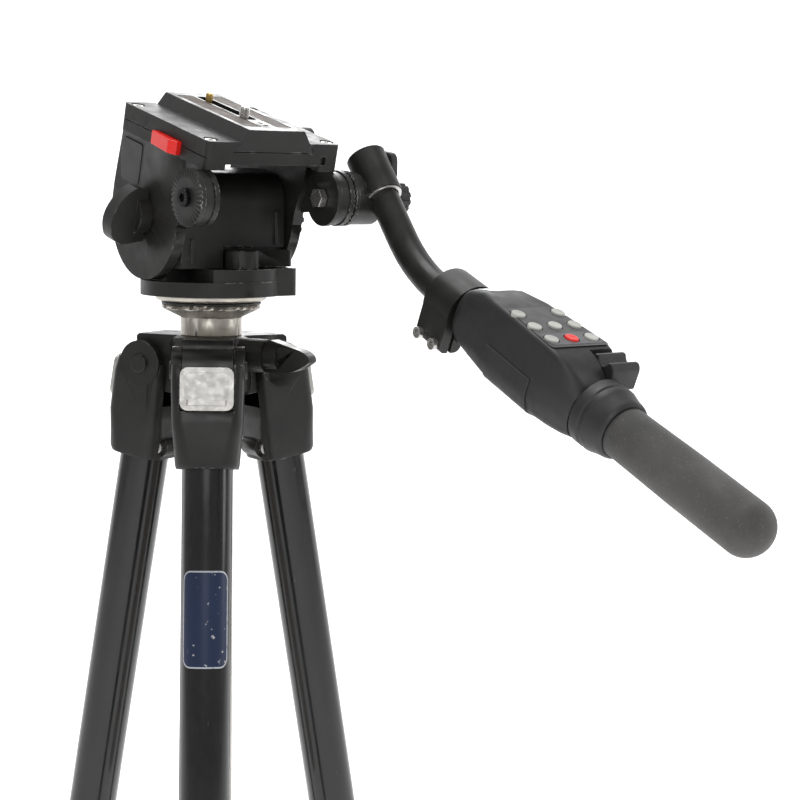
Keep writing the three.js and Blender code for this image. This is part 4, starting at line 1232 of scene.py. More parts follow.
@dataclass
class TiltUnit:
    """The part of the head that tilts: platform, side plates and their controls."""

    frame: Frame
    side_in: float = 36.8
    side_out: float = 43.4
    half: float = 45.0
    front: float = -63.0
    back: float = 35.5
    top: float = 59.2
    thick: float = 16.4
    side_r: float = 38.5
    rosette: Point2 = (-59.6, 26.2)
    rosette_r: float = 16.5
    rosette_out: float = 53.0
    rosette_l: float = 12.5
    plate_top: float = 66.4
    plate_half: float = 19.3
    dovetail_depth: float = 5.6
    slope: float = 0.62
    release: Point2 = (44.0, 52.0)

    def __post_init__(self) -> None:
        """Works out the seat and the sizes that follow."""
        self.up = self.frame.mount_axis("camera_plate")
        self.seat = self.frame.seat("tilt_turn", "tilt", z=self.up)
        self.under = self.top - self.thick
        self.plate_low = self.top - self.dovetail_depth

    def build(self) -> None:
        """Builds the tilting pieces."""
        self.platform()
        for side in (1, -1):
            self.side_plate(side)
        self.tilt_lock()
        self.plate_knob()
        self.button()
        self.badge()

    def dovetail(self) -> list[Point2]:
        """The channel that the camera plate slides in."""
        low = self.plate_half + (self.plate_top - self.plate_low) * self.slope + GAP
        rise = self.dovetail_depth + 3
        high = low - (rise + GAP) * self.slope
        floor, ceiling = self.plate_low - GAP, self.plate_low + rise
        return [(-low, floor), (low, floor), (high, ceiling), (-high, ceiling)]

    def platform(self) -> None:
        """The platform with its channel, its seam and its corner screws."""
        plan = rounded((-self.half, self.front), (self.half, self.back), 3)
        body = slab(Axis.Z, plan, self.under, self.top)
        channel = slab(Axis.Y, self.dovetail(), -80, 80)
        under = block((-self.half + 13, -80, self.under - 1), (self.half - 13, 80, self.under + 3.4))
        mouth = rounded((self.half - 12, self.under + 4), (self.half - 9, self.under + 9), 1.2)
        slot = slab(Axis.Y, mouth, self.front - 1, self.front + 3)
        seam_z = self.under + 6.6
        seam = [
            block((x - 0.7, self.front - 1, seam_z), (x + 0.7, self.back + 1, seam_z + 0.7))
            for x in (-self.half, self.half)
        ]
        body = carve(body, channel, under, slot, *seam)
        corners = [(x * (self.half - 5.4), y) for x in (-1, 1) for y in (self.front + 7, self.back - 7.5)]
        body = carve(body, *[rod(Axis.Z, self.top - 2.4, self.top + 1, 4.2, c, sides=40) for c in corners])
        body = carve(
            body,
            block(
                (-self.half - 1, -34.5, self.release[0] - GAP),
                (-self.half + 9, -5.5, self.release[1] + GAP),
            ),
            rod(Axis.X, 26, self.half + 1, 3 + GAP, (-12, 50), sides=32),
        )
        settle(
            body, "platform_casting", self.seat, Finish.CASTING, "black_casting", "platform",
            edge=0.9, segments=4,
        )
        for number, (x, y) in enumerate(corners, 1):
            head = modelled_once("platform_screw", lambda: socket_screw(3.3, 2.0))
            shifted(head, x, y, self.top - 2.4)
            settle(
                head, f"platform_screw_{number}", self.seat, Finish.STEEL, "bare_steel",
                edge=0.25, segments=2,
            )

    def side_model(self) -> bpy.types.Object:
        """The right side: a teardrop with a lug and a boss for the rosette."""
        top = self.under - GAP
        line = [(-44, top), (-43, 26)] + bow((-43, 26), (-38, 18), (-38.4, 3.8), 8)[1:]
        line += arc((0, 0), self.side_r, 174.3, 358.9, 48) + [(self.back + 3, 10), (self.back, top)]
        face = slab(Axis.X, line, self.side_in, self.side_out)
        y, z = self.rosette
        lug = arc((y, z), self.rosette_r, 75.6, 315, 40) + [(-40, 12), (-40, top), (y + 3, top)]
        arm = slab(Axis.X, lug, self.rosette_out - self.rosette_l, self.side_out)
        boss = rod(Axis.X, self.rosette_out - self.rosette_l, self.rosette_out - 3.4, 15.7, self.rosette)
        body = unite(face, arm, boss)
        hole = rod(Axis.X, 0, 90, 3 + GAP, self.rosette, sides=32)
        return carve(body, hole, rod(Axis.X, 0, 90, 9 + GAP))

    def crown_model(self) -> bpy.types.Object:
        """The toothed face of the right rosette."""
        crown = toothed_disc(self.rosette_r, 3.6, 36, 1.1)
        place = Matrix.Translation((self.rosette_out - 3.6, *self.rosette))
        crown = moved(crown, place @ Axis.X.turn())
        return carve(crown, rod(Axis.X, 0, 90, 3 + GAP, self.rosette, sides=32))

    def side_plate(self, side: int) -> None:
        """A side, its rosette and the left one's screw.

        Args:
            side: 1 for the right and -1 for the left.
        """
        word = "right" if side > 0 else "left"
        flip = Matrix.Diagonal((side, 1, 1, 1))
        body = modelled_once("side_plate", self.side_model)
        settle(
            moved(body, flip), f"side_casting_{word}", self.seat, Finish.CASTING, "black_casting",
            f"side_plate_{word}", edge=1.0, segments=4,
        )
        crown = modelled_once("crown", self.crown_model)
        settle(
            moved(crown, flip), f"rosette_{word}", self.seat, Finish.PLATE, "black_casting",
            edge=0.12, segments=1,
        )
        if side < 0:
            place = Matrix.Translation((self.rosette_out, *self.rosette))
            screw = moved(socket_screw(5.4, 2.6), place @ Axis.X.turn())
            settle(
                moved(screw, flip), "rosette_screw", self.seat, Finish.BLACK_STEEL, "bare_steel",
                edge=0.3, segments=2,
            )

    def tilt_lock(self) -> None:
        """The lobed lever on the left end of the axle."""
        out = self.side_out
        wing = [(-out - 1.2, 15), (-out - 9, 17)]
        wing += bow((-out - 9, 17), (-out - 16, 14), (-out - 21, 5), 8)[1:]
        wing += bow((-out - 21, 5), (-out - 26, -4), (-out - 22, -13), 8)[1:]
        wing += bow((-out - 22, -13), (-out - 17, -19), (-out - 8, -16), 8)[1:] + [(-out - 1.2, -15)]
        made = unite(rod(Axis.X, -out - 8, -out - GAP, 11.5), slab(Axis.Y, wing, -5.5, 5.5))
        made = carve(made, rod(Axis.X, -out - 7, 0, 9 + GAP))
        seat = self.seat.carried_by("tilt_lock")
        settle(
            made, "tilt_lock_wing", seat, Finish.CASTING, "black_casting", "tilt_lock_lever",
            edge=1.8, segments=5,
        )

    def plate_knob(self) -> None:
        """The knob that clamps the camera plate."""
        seat = self.frame.seat("plate_lock_turn", "plate_lock", z=self.up)
        half = self.half
        made = rod(Axis.X, half + 0.6, half + 13, 7.5)
        line = softened([(-5, -4), (15, -3), (16.5, 0), (15, 3), (-5, 4)], 2)
        flag = slab(Axis.X, line, half + 7, half + 12)
        made = unite(made, rod(Axis.X, 30, half + 1, 3, sides=32), flag)
        settle(made, "plate_lock_flag", seat, Finish.CHARCOAL, "black_plastic", "plate_lock_knob", edge=0.8)

    def button(self) -> None:
        """The red release button, with two sloping faces."""
        half = self.half
        face = [(7, -34.3), (-3, -34.3), (-5.5, -29), (-3.2, -5.7), (7, -5.7)]
        face = [(x - half, y) for x, y in face]
        made = slab(Axis.Z, face, *self.release)
        seat = self.seat.carried_by("release")
        settle(made, "release_button", seat, Finish.RED, "red_plastic", "safety_button", edge=0.7)

    def badge(self) -> None:
        """A blank panel on the left side."""
        line = softened([(10, 15), (30, 14), (33.5, 26), (33, 39), (10, 39)], 2.5)
        made = slab(Axis.X, line, -self.side_out - 0.45, -self.side_out - 0.02)
        settle(made, "side_badge", self.seat, Finish.PANEL, "black_plastic", edge=0.2, segments=2)


@dataclass
class CameraPlate:
    """The sliding plate with its pads, its screw and its pin."""

    frame: Frame
    top: float = 66.4
    half: float = 19.3
    low: float = 53.6
    slope: float = 0.62
    front: float = -62.8
    length: float = 96.0
    screw_y: float = -26.0
    pin_y: float = 14.0

    def build(self) -> None:
        """Builds the plate and what is on it."""
        seat = self.frame.seat("tilt_turn", "quick", z=self.frame.mount_axis("camera_plate"))
        self.plate(seat)
        self.pads(seat)
        self.screw(seat.carried_by("camera_screw"))
        self.pin(seat.carried_by("video_pin"))

    def plate(self, seat: Seat) -> None:
        """The dovetailed plate with its slot."""
        low_half = self.half + (self.top - self.low) * self.slope
        section = [(-low_half, self.low), (low_half, self.low), (self.half, self.top - 0.6)]
        section += [(self.half - 0.6, self.top), (-self.half + 0.6, self.top), (-self.half, self.top - 0.6)]
        body = slab(Axis.Y, section, self.front, self.front + self.length)
        slot = slab(Axis.Z, rounded((-3.4, -36), (3.4, 24), 3.3), self.low - 1, self.top + 1)
        under = slab(Axis.Z, rounded((-8.5, -41), (8.5, 28), 3), self.low - 1, self.low + 6.5)
        bays = [
            slab(Axis.Z, rounded((left, -54), (left + 10.4, 26), 1.5), self.top - 0.9, self.top + 1)
            for left in (-15.6, 5.2)
        ]
        holes = [rod(Axis.Z, self.top - 4, self.top + 1, 1.5, (0, y), sides=24) for y in (-44, -50)]
        body = carve(body, slot, under, *bays, *holes)
        settle(
            body, "camera_plate_body", seat, Finish.PLATE, "black_casting", "quick_release_plate",
            edge=0.5,
        )

    def pads(self, seat: Seat) -> None:
        """Two brown rubber pads sunk beside the slot."""
        for side, word in ((-1, "left"), (1, "right")):
            low, high = sorted((side * 5.4, side * 15.4))
            pad = slab(Axis.Z, rounded((low, -53.8), (high, 25.8), 1.3), self.top - 0.85, self.top - 0.1)
            settle(pad, f"plate_pad_{word}", seat, Finish.STRIP, "grip_rubber", edge=0.2, segments=2)

    def screw(self, seat: Seat) -> None:
        """The camera screw with its thread, flange and slot."""
        profile = [(0, self.low + 1), (7, self.low + 1), (7, self.low + 5.8), (2.5, self.low + 5.8)]
        crest, pitch, z = 3.0, 0.9, self.low + 6.2
        while z < self.top + 4.8:
            profile += [(crest, z), (2.5, z + pitch / 2)]
            z += pitch
        profile += [(2.2, self.top + 5.5), (0, self.top + 5.5)]
        made = carve(turned(profile, 48), block((-0.5, -8, self.low), (0.5, 8, self.low + 2.6)))
        made = shifted(made, 0, self.screw_y, 0)
        settle(made, "thread_screw", seat, Finish.STEEL, "bare_steel", "camera_screw", edge=0)

    def pin(self, seat: Seat) -> None:
        """The sprung brass pin."""
        high = self.top + 4.5
        profile = [(0, self.low + 4.2), (5.5, self.low + 4.2), (5.5, self.low + 5.8), (2.2, self.low + 5.8)]
        profile += [(2.2, high - 1), (1.9, high - 0.3), (1.2, high), (0, high)]
        made = shifted(turned(profile, 48), 0, self.pin_y, 0)
        settle(made, "locating_pin", seat, Finish.BRASS, "brass_pin", "video_pin", edge=0)


# ---- pan bar and remote control --------------------------------------------------------------------
@dataclass
class PanBar:
    """The cranked bar, its clamp on the right rosette, and the two knobs."""

    frame: Frame
    plane: float = 74.0
    bar_r: float = 9.0
    socket_r: float = 12.0
    rosette_r: float = 16.5
    rosette_out: float = 53.0
    bar_drop: float = 51.8
    grip_drop: float = 22.9
    bend_r: float = 95.0
    ring_at: float = 142.0
    corner_at: Point2 = (107.0, 21.2)
    corner: Point2 = field(init=False)

    def __post_init__(self) -> None:
        """Works out the seat and where the bar's corner lies from its bolt."""
        self.seat = self.frame.seat("handle_turn", "handle")
        bolt = (self.frame.point("handle_turn") - self.frame.point("pan_turn")) / MM
        self.corner = (-self.corner_at[0] - bolt.y, self.corner_at[1] - bolt.z)
        self.bar_way = self.slope(self.bar_drop)
        self.grip_way = self.slope(self.grip_drop)
        back = -(self.corner[0] * self.bar_way[0] + self.corner[1] * self.bar_way[1])
        self.upper = back - 21
        self.lower = back + 8
        self.ring = (self.ring_at - self.corner_at[0]) / math.cos(math.radians(self.grip_drop))

    @staticmethod
    def slope(drop: float) -> Point2:
        """The direction that goes back and drops by an angle."""
        return (-math.cos(math.radians(drop)), -math.sin(math.radians(drop)))

    def along(self, way: Point2, distance: float) -> Point2:
        """A point of the bar's plane, measured from its corner."""
        return (self.corner[0] + way[0] * distance, self.corner[1] + way[1] * distance)

    def build(self) -> None:
        """Builds the clamp, the bar, the bolt and the knobs."""
        self.clamp()
        self.bar()
        self.bolt()
        self.knob()
        self.wing()

    def leaning(self, start: float, end: float, radius: float) -> bpy.types.Object:
        """A rod along the bar's upper stretch, measured from its corner."""
        angle = math.atan2(-self.bar_way[0], -self.bar_way[1])
        made = moved(rod(Axis.Z, -end, -start, radius), Matrix.Rotation(-angle, 4, "X"))
        return shifted(made, self.plane, *self.corner)

    def clamp(self) -> None:
        """The hub against the rosette and the slanted socket for the bar."""
        hub = unite(
            rod(Axis.X, self.rosette_out + 3, self.plane, self.rosette_r - 0.8),
            rod(Axis.X, self.plane - 1, self.plane + self.socket_r, 8),
            self.leaning(self.upper, self.lower, self.socket_r),
        )
        bore = self.leaning(self.upper + 2.65, self.lower + 60, self.bar_r + GAP)
        hole = rod(Axis.X, 0, 120, 3 + GAP, sides=32)
        wing_hole = rod(Axis.X, self.plane, 120, 2.95, self.along(self.bar_way, self.upper + 8), sides=24)
        body = carve(hub, bore, hole, wing_hole)
        settle(
            body, "socket_casting", self.seat, Finish.HANDLE, "black_casting", "handle_clamp",
            edge=0.9, segments=4,
        )
        crown = toothed_disc(self.rosette_r, 3.0, 36, 0.9)
        turn = Matrix.Rotation(-math.pi / 2, 4, "Y")
        crown = moved(crown, Matrix.Translation((self.rosette_out + GAP + 3.0, 0, 0)) @ turn)
        crown = carve(crown, rod(Axis.X, 0, 120, 3 + GAP, sides=32))
        settle(crown, "socket_rosette", self.seat, Finish.PLATE, "black_casting", edge=0.12, segments=1)
        lip = carve(
            self.leaning(self.lower + 0.05, self.lower + 1.4, self.socket_r - 0.7),
            self.leaning(self.lower - 2, self.lower + 3, self.bar_r + GAP),
        )
        settle(lip, "socket_lip", self.seat, Finish.STEEL, "bare_steel", edge=0.3, segments=2)

    def bar(self) -> None:
        """The bar: two straight stretches with a smooth bend between them."""
        bend = self.bend_r * math.tan(math.radians(self.bar_drop - self.grip_drop) / 2)
        line = [self.along(self.bar_way, self.upper + 3)]
        line += bow(self.along(self.bar_way, -bend), self.corner, self.along(self.grip_way, bend), 20)
        line.append(self.along(self.grip_way, self.ring + 31))
        rings = []
        for i, (y, z) in enumerate(line):
            before, after = line[max(i - 1, 0)], line[min(i + 1, len(line) - 1)]
            way = Vector((0, after[0] - before[0], after[1] - before[1])).normalized()
            up = way.cross(Vector((1, 0, 0)))
            around = [2 * math.pi * k / 48 for k in range(48)]
            centre = Vector((self.plane, y, z))
            circle = [Vector((math.cos(a), 0, 0)) + up * math.sin(a) for a in around]
            rings.append([centre + self.bar_r * step for step in circle])
        settle(lofted(rings), "cranked_bar", self.seat, Finish.HANDLE, "black_casting", "pan_bar", edge=0.5)

    def bolt(self) -> None:
        """The bolt through the rosette."""
        seat = self.seat.carried_by("tilt")
        shank = rod(Axis.X, 39.5, self.plane + self.socket_r + 6, 3, sides=40)
        head = rod(Axis.X, 35.5, 40.15, 6, sides=6)
        settle(unite(shank, head), "through_bolt", seat, Finish.STEEL, "bare_steel", "handle_bolt", edge=0.3)

    def knob(self) -> None:
        """The round knob that tightens the bolt."""
        start = self.plane + self.socket_r
        made = rod(Axis.X, start + GAP, start + 13, 9.6, sides=64)
        flutes = [
            turned_about(rod(Axis.X, start + 3, start + 14, 1.3, (0, 10), sides=20), Axis.X, 30 * i)
            for i in range(12)
        ]
        made = carve(made, rod(Axis.X, start - 1, start + 7, 3 + GAP), *flutes)
        seat = self.seat.carried_by("handle_knob")
        settle(made, "bolt_knob", seat, Finish.CHARCOAL, "black_plastic", "handle_knob", edge=0.7)

    def wing(self) -> None:
        """The flat wing that pinches the bar in its socket."""
        seat = self.frame.seat("wing_knob_turn", "wing_knob")
        start = self.plane + self.socket_r
        line = softened([(-4, -7.5), (20, -5), (26, 2), (25, 11), (18, 12), (-4, 9)], 5, 6)
        made = unite(
            rod(Axis.X, self.plane + self.bar_r + 2 * GAP, start + 2, 2.6, sides=32),
            slab(Axis.X, line, start + 1, start + 5.5),
        )
        settle(made, "socket_wing", seat, Finish.CHARCOAL, "black_plastic", "wing_knob", edge=0.8)


@dataclass
class RemoteControl:
    """The remote control on the bar, and the rubber grip behind it.

    Its own axes: -z runs down the grip and +y is the keypad's side.
    """

    bar: PanBar
    length: float = 110.0
    collar: float = 24.0
    grip_l: float = 108.0
    keypad: float = 25.4
    first_row: float = 48.0
    row: float = 14.7
    pitch: float = 14.2
    key_r: float = 4.1
    clamp_l: float = 24.0
    clamp_r: float = 17.5
    rocker_in: float = 12.0

    def __post_init__(self) -> None:
        """Works out the seats of the clamp and the housing."""
        self.rocker_s = self.length - self.rocker_in
        self.clamp_seat = self.seat(self.bar.ring - 6)
        self.body_seat = self.seat(self.bar.ring - 4 + self.clamp_l)

    def seat(self, distance: float) -> Seat:
        """A seat on the grip's line, measured from the bar's corner."""
        at = self.bar.along(self.bar.grip_way, distance)
        tip = Matrix.Rotation(math.radians(self.bar.grip_drop - 90), 4, "X")
        turn = tip @ Matrix.Rotation(math.pi, 4, "Z")
        place = Matrix.Translation(Vector((self.bar.plane, *at)) * MM)
        return Seat(self.bar.seat.matrix @ place @ turn, "handle")

    def build(self) -> None:
        """Builds the clamp, the housing, the keys, the rocker, the grip and the wires."""
        self.clamp()
        self.housing()
        self.keys()
        self.rocker()
        self.grip()
        self.wires()

    def clamp(self) -> None:
        """The split ring that holds the remote on the bar, and its screw."""
        low = -self.clamp_l
        ring = rod(Axis.Z, low, 0, self.clamp_r, sides=96)
        lug = slab(Axis.Z, rounded((2, -24), (17, 0), 4), low, 0)
        body = unite(ring, lug)
        body = carve(
            body,
            rod(Axis.Z, low - 1, 1, self.bar.bar_r + GAP),
            block((8.4, -40, low - 1), (10.6, -4, 1)),
            block((0, -40, -14.5), (20, -17.5, -9.5)),
        )
        settle(
            body, "split_clamp", self.clamp_seat, Finish.HANDLE, "black_casting", "remote_clamp",
            edge=0.8, segments=4,
        )
        for number, z in enumerate((-4.8, -19.2), 1):
            screw = modelled_once("clamp_screw", lambda: socket_screw(3.4, 3.2))
            moved(screw, Matrix.Translation((17, -20.2, z)) @ Axis.X.turn())
            settle(
                screw, f"clamp_screw_{number}", self.clamp_seat, Finish.STEEL, "bare_steel",
                edge=0.3, segments=2,
            )

    def station(self, s: float, top: float, top_half: float, half: float, low: float) -> list[Vector]:
        """The housing's outline at one place along the grip."""
        side = [
            (top_half, top),
            (half * 0.93, top * 0.62),
            (half, top * 0.2),
            (half, low * 0.3),
            (half * 0.84, low * 0.78),
            (half * 0.42, low),
        ]
        line = side + [(-x, y) for x, y in reversed(side)]
        return [Vector((x, y, -s)) for x, y in softened(line, 3.4, 4)]

    def stations(self, grow: float = 0.0) -> Callable[[float], tuple[float, ...]]:
        """The housing's sizes as a smooth function of the distance along it."""
        table = [
            (0, 16.4, 10.5, 15.0, -13),
            (5, 19.5, 11.5, 16.8, -15.2),
            (18, 24.4, 14.5, 19.0, -17),
            (36, self.keypad, 18.5, 22.0, -19),
            (self.length - 26, self.keypad, 21.8, 24.3, -19),
            (self.length - 14, 22.8, 20.5, 23.5, -18.5),
            (self.length - 6, 18, 17, 21.5, -18),
            (self.length, 12, 12, 18.5, -17),
        ]

        def sizes(s: float) -> tuple[float, ...]:
            """The housing's sizes at one distance."""
            for low, high in zip(table, table[1:]):
                if low[0] <= s <= high[0]:
                    t = (s - low[0]) / (high[0] - low[0])
                    row = [a + (b - a) * t for a, b in zip(low[1:], high[1:])]
                    return (s, row[0] + grow, row[1] + grow * 0.7, row[2] + grow, row[3] - grow)
            raise ValueError(f"{s} lies off the housing")

        return sizes

    def housing(self) -> None:
        """The moulded housing with its key wells and a raised guard before the rocker."""
        sizes = self.stations()
        places = [0, 1.5, 5, 10, 18, 27, 36, 52, 68]
        places += [self.length - back for back in (26, 20, 14, 10, 6, 2, 0)]
        body = lofted([self.station(*sizes(s)) for s in places])
        wells = self.key_wells(self.key_grid())
        seat = slab(Axis.X, rounded((9, -self.rocker_s - 12.2), (40, -self.rocker_s + 9.5), 2), -30, -4)
        spigot = rod(Axis.Z, -12, 1, self.bar.bar_r + 1)
        settle(
            carve(body, *wells, seat, spigot), "remote_shell", self.body_seat, Finish.CHARCOAL,
            "black_plastic", "remote_housing", edge=0.5,
        )
        guard_sizes = self.stations(0.9)
        guard = lofted([self.station(*guard_sizes(s)) for s in (40, 43, 54, 66, 78, 81)])
        hollow = block((-40, 4, -100), (40, 40, -30))
        guard = carve(guard, hollow)
        settle(guard, "remote_belly", self.body_seat, Finish.CHARCOAL, "black_plastic", edge=0.5)
        lid = [(-16.6, -41), (16.6, -41), (20.4, -86), (-20.4, -86)]
        panel = slab(Axis.Y, softened(lid, 3), self.keypad - 0.02, self.keypad + 0.22)
        holes = self.key_wells(self.key_grid())
        settle(carve(panel, *holes), "key_panel", self.body_seat, Finish.PANEL, "black_plastic", edge=0)
        band_z = -(self.first_row + 2 * self.row)
        line = rounded((-18.3, band_z - 6.4), (18.3, band_z + 6.4), 2)
        band = slab(Axis.Y, line, self.keypad + 0.2, self.keypad + 0.36)
        last_row = self.key_wells([(column, 2) for column in (-1, 0, 1)])
        settle(carve(band, *last_row), "key_band", self.body_seat, Finish.BAND, "black_plastic", edge=0)
        self.blank_label()

    def blank_label(self) -> None:
        """A small blank plate on the slope before the keys."""
        rise, run = 24.4 - 19.5, 13.0
        tip = Matrix.Translation((0, 22.1, -11.8)) @ Matrix.Rotation(math.atan2(rise, run), 4, "X")
        edge = moved(slab(Axis.Y, rounded((-9.2, -6.2), (9.2, 6.2), 1.2), -0.5, 0.25), tip)
        settle(edge, "label_edge", self.body_seat, Finish.WHITE, "key_plastic", edge=0)
        face = moved(slab(Axis.Y, rounded((-8.3, -5.3), (8.3, 5.3), 0.8), -0.4, 0.36), tip)
        settle(face, "label_face", self.body_seat, Finish.BLUE, "black_plastic", edge=0)

    @staticmethod
    def key_grid() -> list[tuple[int, int]]:
        """The column and row of each key: two in the first row and three in the others."""
        return [(-1, 0), (1, 0)] + [(c, r) for r in (1, 2) for c in (-1, 0, 1)]

    def key_wells(self, grid: Sequence[tuple[int, int]]) -> list[bpy.types.Object]:
        """A cutter with clearance for each key of a grid."""
        low, high = self.keypad - 3, self.keypad + 3
        return [
            rod(Axis.Y, low, high, self.key_r + 0.5, (c * self.pitch, -self.first_row - r * self.row), sides=32)
            for c, r in grid
        ]

    def keys(self) -> None:
        """Eight domed keys; the middle one of the last row is red."""
        for number, (column, line) in enumerate(self.key_grid(), 1):
            profile = [(0, -1.8), (self.key_r, -1.8), (self.key_r, 0.5)]
            profile += [(3.7, 1.05), (2.6, 1.25), (1.4, 1.0), (0, 0.95)]
            key = moved(
                modelled_once("key", lambda: turned(profile, 40)),
                Matrix.Translation((column * self.pitch, self.keypad, -(self.first_row + line * self.row)))
                @ Axis.Y.turn(),
            )
            red = number == 7
            settle(
                key, f"key_cap_{number}", Seat(self.body_seat.matrix, f"key_{number}"),
                Finish.RED if red else Finish.KEY, "red_plastic" if red else "key_plastic",
                f"button_{number}", edge=0,
            )

    def rocker(self) -> None:
        """The zoom rocker, with a finger notch across it."""
        line = [(-3, -9), (8, -9)] + bow((8, -9), (12.5, -8), (11.5, -4), 6)[1:]
        line += bow((11.5, -4), (8.6, -3), (7.5, 0), 6)[1:] + bow((7.5, 0), (8.6, 3), (11.5, 4), 6)[1:]
        line += bow((11.5, 4), (12.5, 8), (8, 9), 6)[1:] + [(-3, 9)]
        made = shifted(slab(Axis.X, line, -11, 9), -14, 13, -self.rocker_s - 1.5)
        seat = self.body_seat.carried_by("zoom")
        settle(made, "rocker_cap", seat, Finish.CHARCOAL, "black_plastic", "zoom_rocker", edge=0.9)

    def grip(self) -> None:
        """The bell collar and the rubber grip with its domed end."""
        start, r0, r1 = -(self.length + self.collar), 14.2, 15.0
        end = start - self.grip_l
        angles = [math.pi / 2 * k / 12 for k in range(13)]
        dome = [(r1 * math.sin(a), end + 14 * (1 - math.cos(a))) for a in angles]
        grip = dome + [(r1, end + 60), (r0 + 0.2, start - 4), (r0, start - 0.2), (0, start - 0.2)]
        settle(turned(grip), "rubber_grip", self.body_seat, Finish.GRIP, "grip_rubber", "grip", edge=0)
        rim = r0 + 5
        bell = [(0, start), (r0 + 1.2, start), (r0 + 2.2, start + 1.2)]
        bell += bow((r0 + 2.6, start + 2.5), (r0 + 3.4, start + 8), (rim - 0.2, start + 12), 8)
        bell += [(rim, start + 14), (rim - 0.7, start + 14.7), (rim - 0.7, start + 16), (rim, start + 16.7)]
        bell += [(rim, -self.length - 1.2), (rim - 0.8, -self.length - GAP), (0, -self.length - GAP)]
        settle(
            turned(bell), "bell_collar", self.body_seat, Finish.CHARCOAL, "black_plastic",
            edge=0.3, segments=2,
        )

    def wires(self) -> None:
        """Short sleeved wires from the clamp into the housing."""
        sleeves = ((2.0, Finish.ORANGE), (4.2, Finish.YELLOW), (6.4, Finish.BLACK_STEEL))
        for number, (x, tint) in enumerate(sleeves, 1):
            line = bow((self.clamp_r - 5.0, 5.0), (self.clamp_r + 1.5, 1.0), (12.5, -3.5), 14)
            rings = []
            for i, (depth, z) in enumerate(line):
                before, after = line[max(i - 1, 0)], line[min(i + 1, len(line) - 1)]
                way = Vector((0, -(after[0] - before[0]), after[1] - before[1])).normalized()
                side = Vector((1, 0, 0))
                up = way.cross(side)
                turns = [2 * math.pi * k / 12 for k in range(12)]
                centre = Vector((x, -depth, z))
                rings.append([centre + 0.85 * (side * math.cos(a) + up * math.sin(a)) for a in turns])
            settle(lofted(rings), f"sleeved_wire_{number}", self.body_seat, tint, "black_plastic", edge=0)


# ---- studio ----------------------------------------------------------------------------------------
@dataclass(frozen=True)
class SoftLight:
    """A rectangular light that points at the head."""

    name: str
    place: Point3
    size: Point2
    power: float

    def build(self, aim: Vector) -> None:
        """Adds the light."""
        data = bpy.data.lights.new(self.name, "AREA")
        data.shape = "RECTANGLE"
        data.size, data.size_y = self.size
        data.energy = self.power
        lamp = bpy.data.objects.new(self.name, data)
        bpy.context.scene.collection.objects.link(lamp)
        lamp.location = aim + Vector(self.place)
        lamp.rotation_mode = "QUATERNION"
        lamp.rotation_quaternion = (aim - lamp.location).to_track_quat("-Z", "Y")


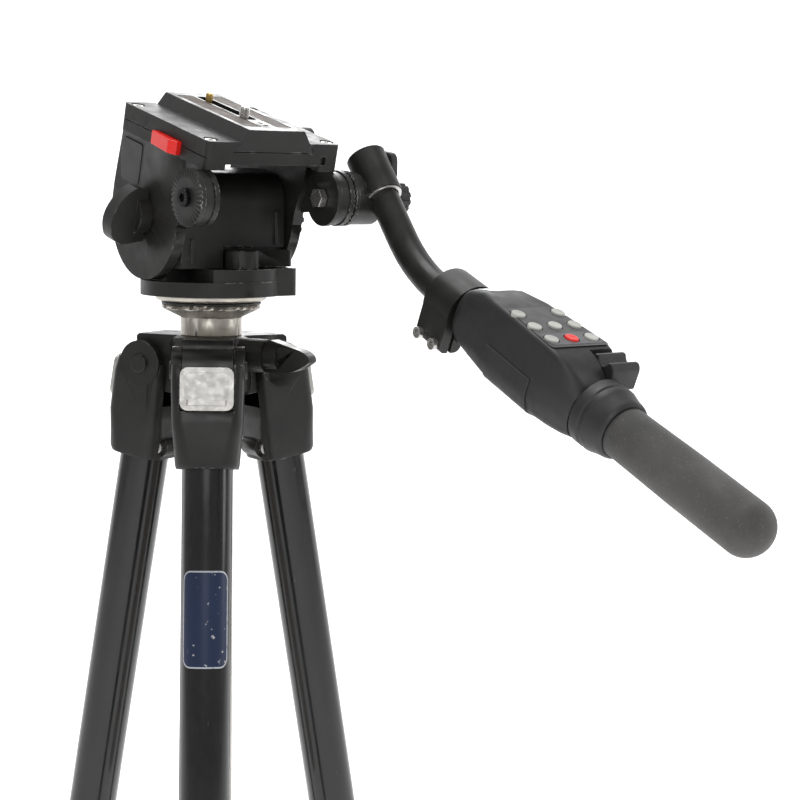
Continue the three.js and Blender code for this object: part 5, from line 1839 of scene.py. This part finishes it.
@dataclass
class Studio:
    """A pale floor that sweeps up behind, soft lights and the camera."""

    frame: Frame
    lens: float = 88.56
    distance: float = 1.19306
    height: float = 0.0765
    stand_angle: float = 31.74
    look_angle: float = 37.26
    pitch: float = 6.5
    roll: float = 0.79
    near: float = 1.6
    far: float = 2.2
    lights: tuple[SoftLight, ...] = (
        SoftLight("key_light", (-1.1, -1.5, 0.9), (0.9, 1.2), 13.0),
        SoftLight("fill_light", (1.5, -1.2, 0.5), (0.5, 1.4), 7.0),
        SoftLight("top_light", (0.1, 0.2, 1.5), (1.0, 1.0), 15.0),
        SoftLight("rim_light", (1.1, 1.3, 0.7), (0.5, 1.2), 9.0),
    )

    def build(self) -> None:
        """Builds the stage, the lights and the camera."""
        aim = self.frame.point("pan_turn")
        self.sweep()
        for light in self.lights:
            light.build(aim)
        self.world()
        self.camera(aim)

    def sweep(self) -> None:
        """A floor whose far edge curves up into a wall, square to the camera."""
        profile = [(-self.near * 2, 0.0), (self.far - 0.7, 0.0)]
        profile += arc((self.far - 0.7, 0.7), 0.7, -90, 0, 16)[1:] + [(self.far, 3.6)]
        width = 4.0
        bpy.ops.object.select_all(action="DESELECT")
        bpy.ops.mesh.primitive_grid_add(x_subdivisions=1, y_subdivisions=len(profile) - 1, size=1)
        floor = bpy.context.object
        for index, vertex in enumerate(floor.data.vertices):
            y, z = profile[index // 2]
            vertex.co = ((index % 2 - 0.5) * 2 * width, y, z - 0.0006)
        turn = Matrix.Rotation(-math.radians(self.look_angle), 4, "Z")
        moved(floor, turn)
        floor.name = "floor_sweep"
        pick(floor)
        bpy.ops.object.shade_smooth()
        nodes = Nodes("studio_paper")
        nodes.surface(Base_Color=nodes.blend(nodes.noise(3, 2), (0.9, 0.9, 0.905), (0.93, 0.93, 0.93)))
        nodes.fixed(Roughness=0.9, Specular_IOR_Level=0.1)
        nodes.shader.inputs["Emission Color"].default_value = (1, 1, 1, 1)
        nodes.shader.inputs["Emission Strength"].default_value = 0.55
        floor.data.materials.append(nodes.material)

    def world(self) -> None:
        """Even white surroundings."""
        world = bpy.data.worlds.new("studio_air")
        bpy.context.scene.world = world
        world.use_nodes = True
        bpy.context.scene.view_settings.view_transform = "Standard"
        back = world.node_tree.nodes["Background"]
        back.inputs["Color"].default_value = (1.0, 1.0, 1.0, 1.0)
        back.inputs["Strength"].default_value = 0.42

    def camera(self, aim: Vector) -> None:
        """The camera at its height and angle to the head."""
        data = bpy.data.cameras.new("camera")
        data.lens = self.lens
        data.clip_end = 50
        eye = bpy.data.objects.new("camera", data)
        bpy.context.scene.collection.objects.link(eye)
        stand, look = math.radians(self.stand_angle), math.radians(self.look_angle)
        pitch, roll = math.radians(self.pitch), math.radians(self.roll)
        eye.location = aim + Vector(
            (-self.distance * math.sin(stand), -self.distance * math.cos(stand), self.height)
        )
        turn = (
            Matrix.Rotation(-look, 4, "Z")
            @ Matrix.Rotation(math.pi / 2 - pitch, 4, "X")
            @ Matrix.Rotation(roll, 4, "Z")
        )
        eye.rotation_euler = turn.to_euler()
        bpy.context.scene.camera = eye


def main() -> None:
    """Loads the frame and builds each sub-assembly in order."""
    logging.basicConfig(level=logging.INFO, format="%(name)s: %(message)s")
    frame = Frame(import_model())
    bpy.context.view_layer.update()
    Studio(frame).build()
    Shoulder(frame).build()
    for letter in "abc":
        Leg(frame, letter).build()
    Sticker(frame).build()
    PanUnit(frame).build()
    TiltUnit(frame).build()
    CameraPlate(frame).build()
    bar = PanBar(frame)
    bar.build()
    RemoteControl(bar).build()


if __name__ == "__main__":
    main()
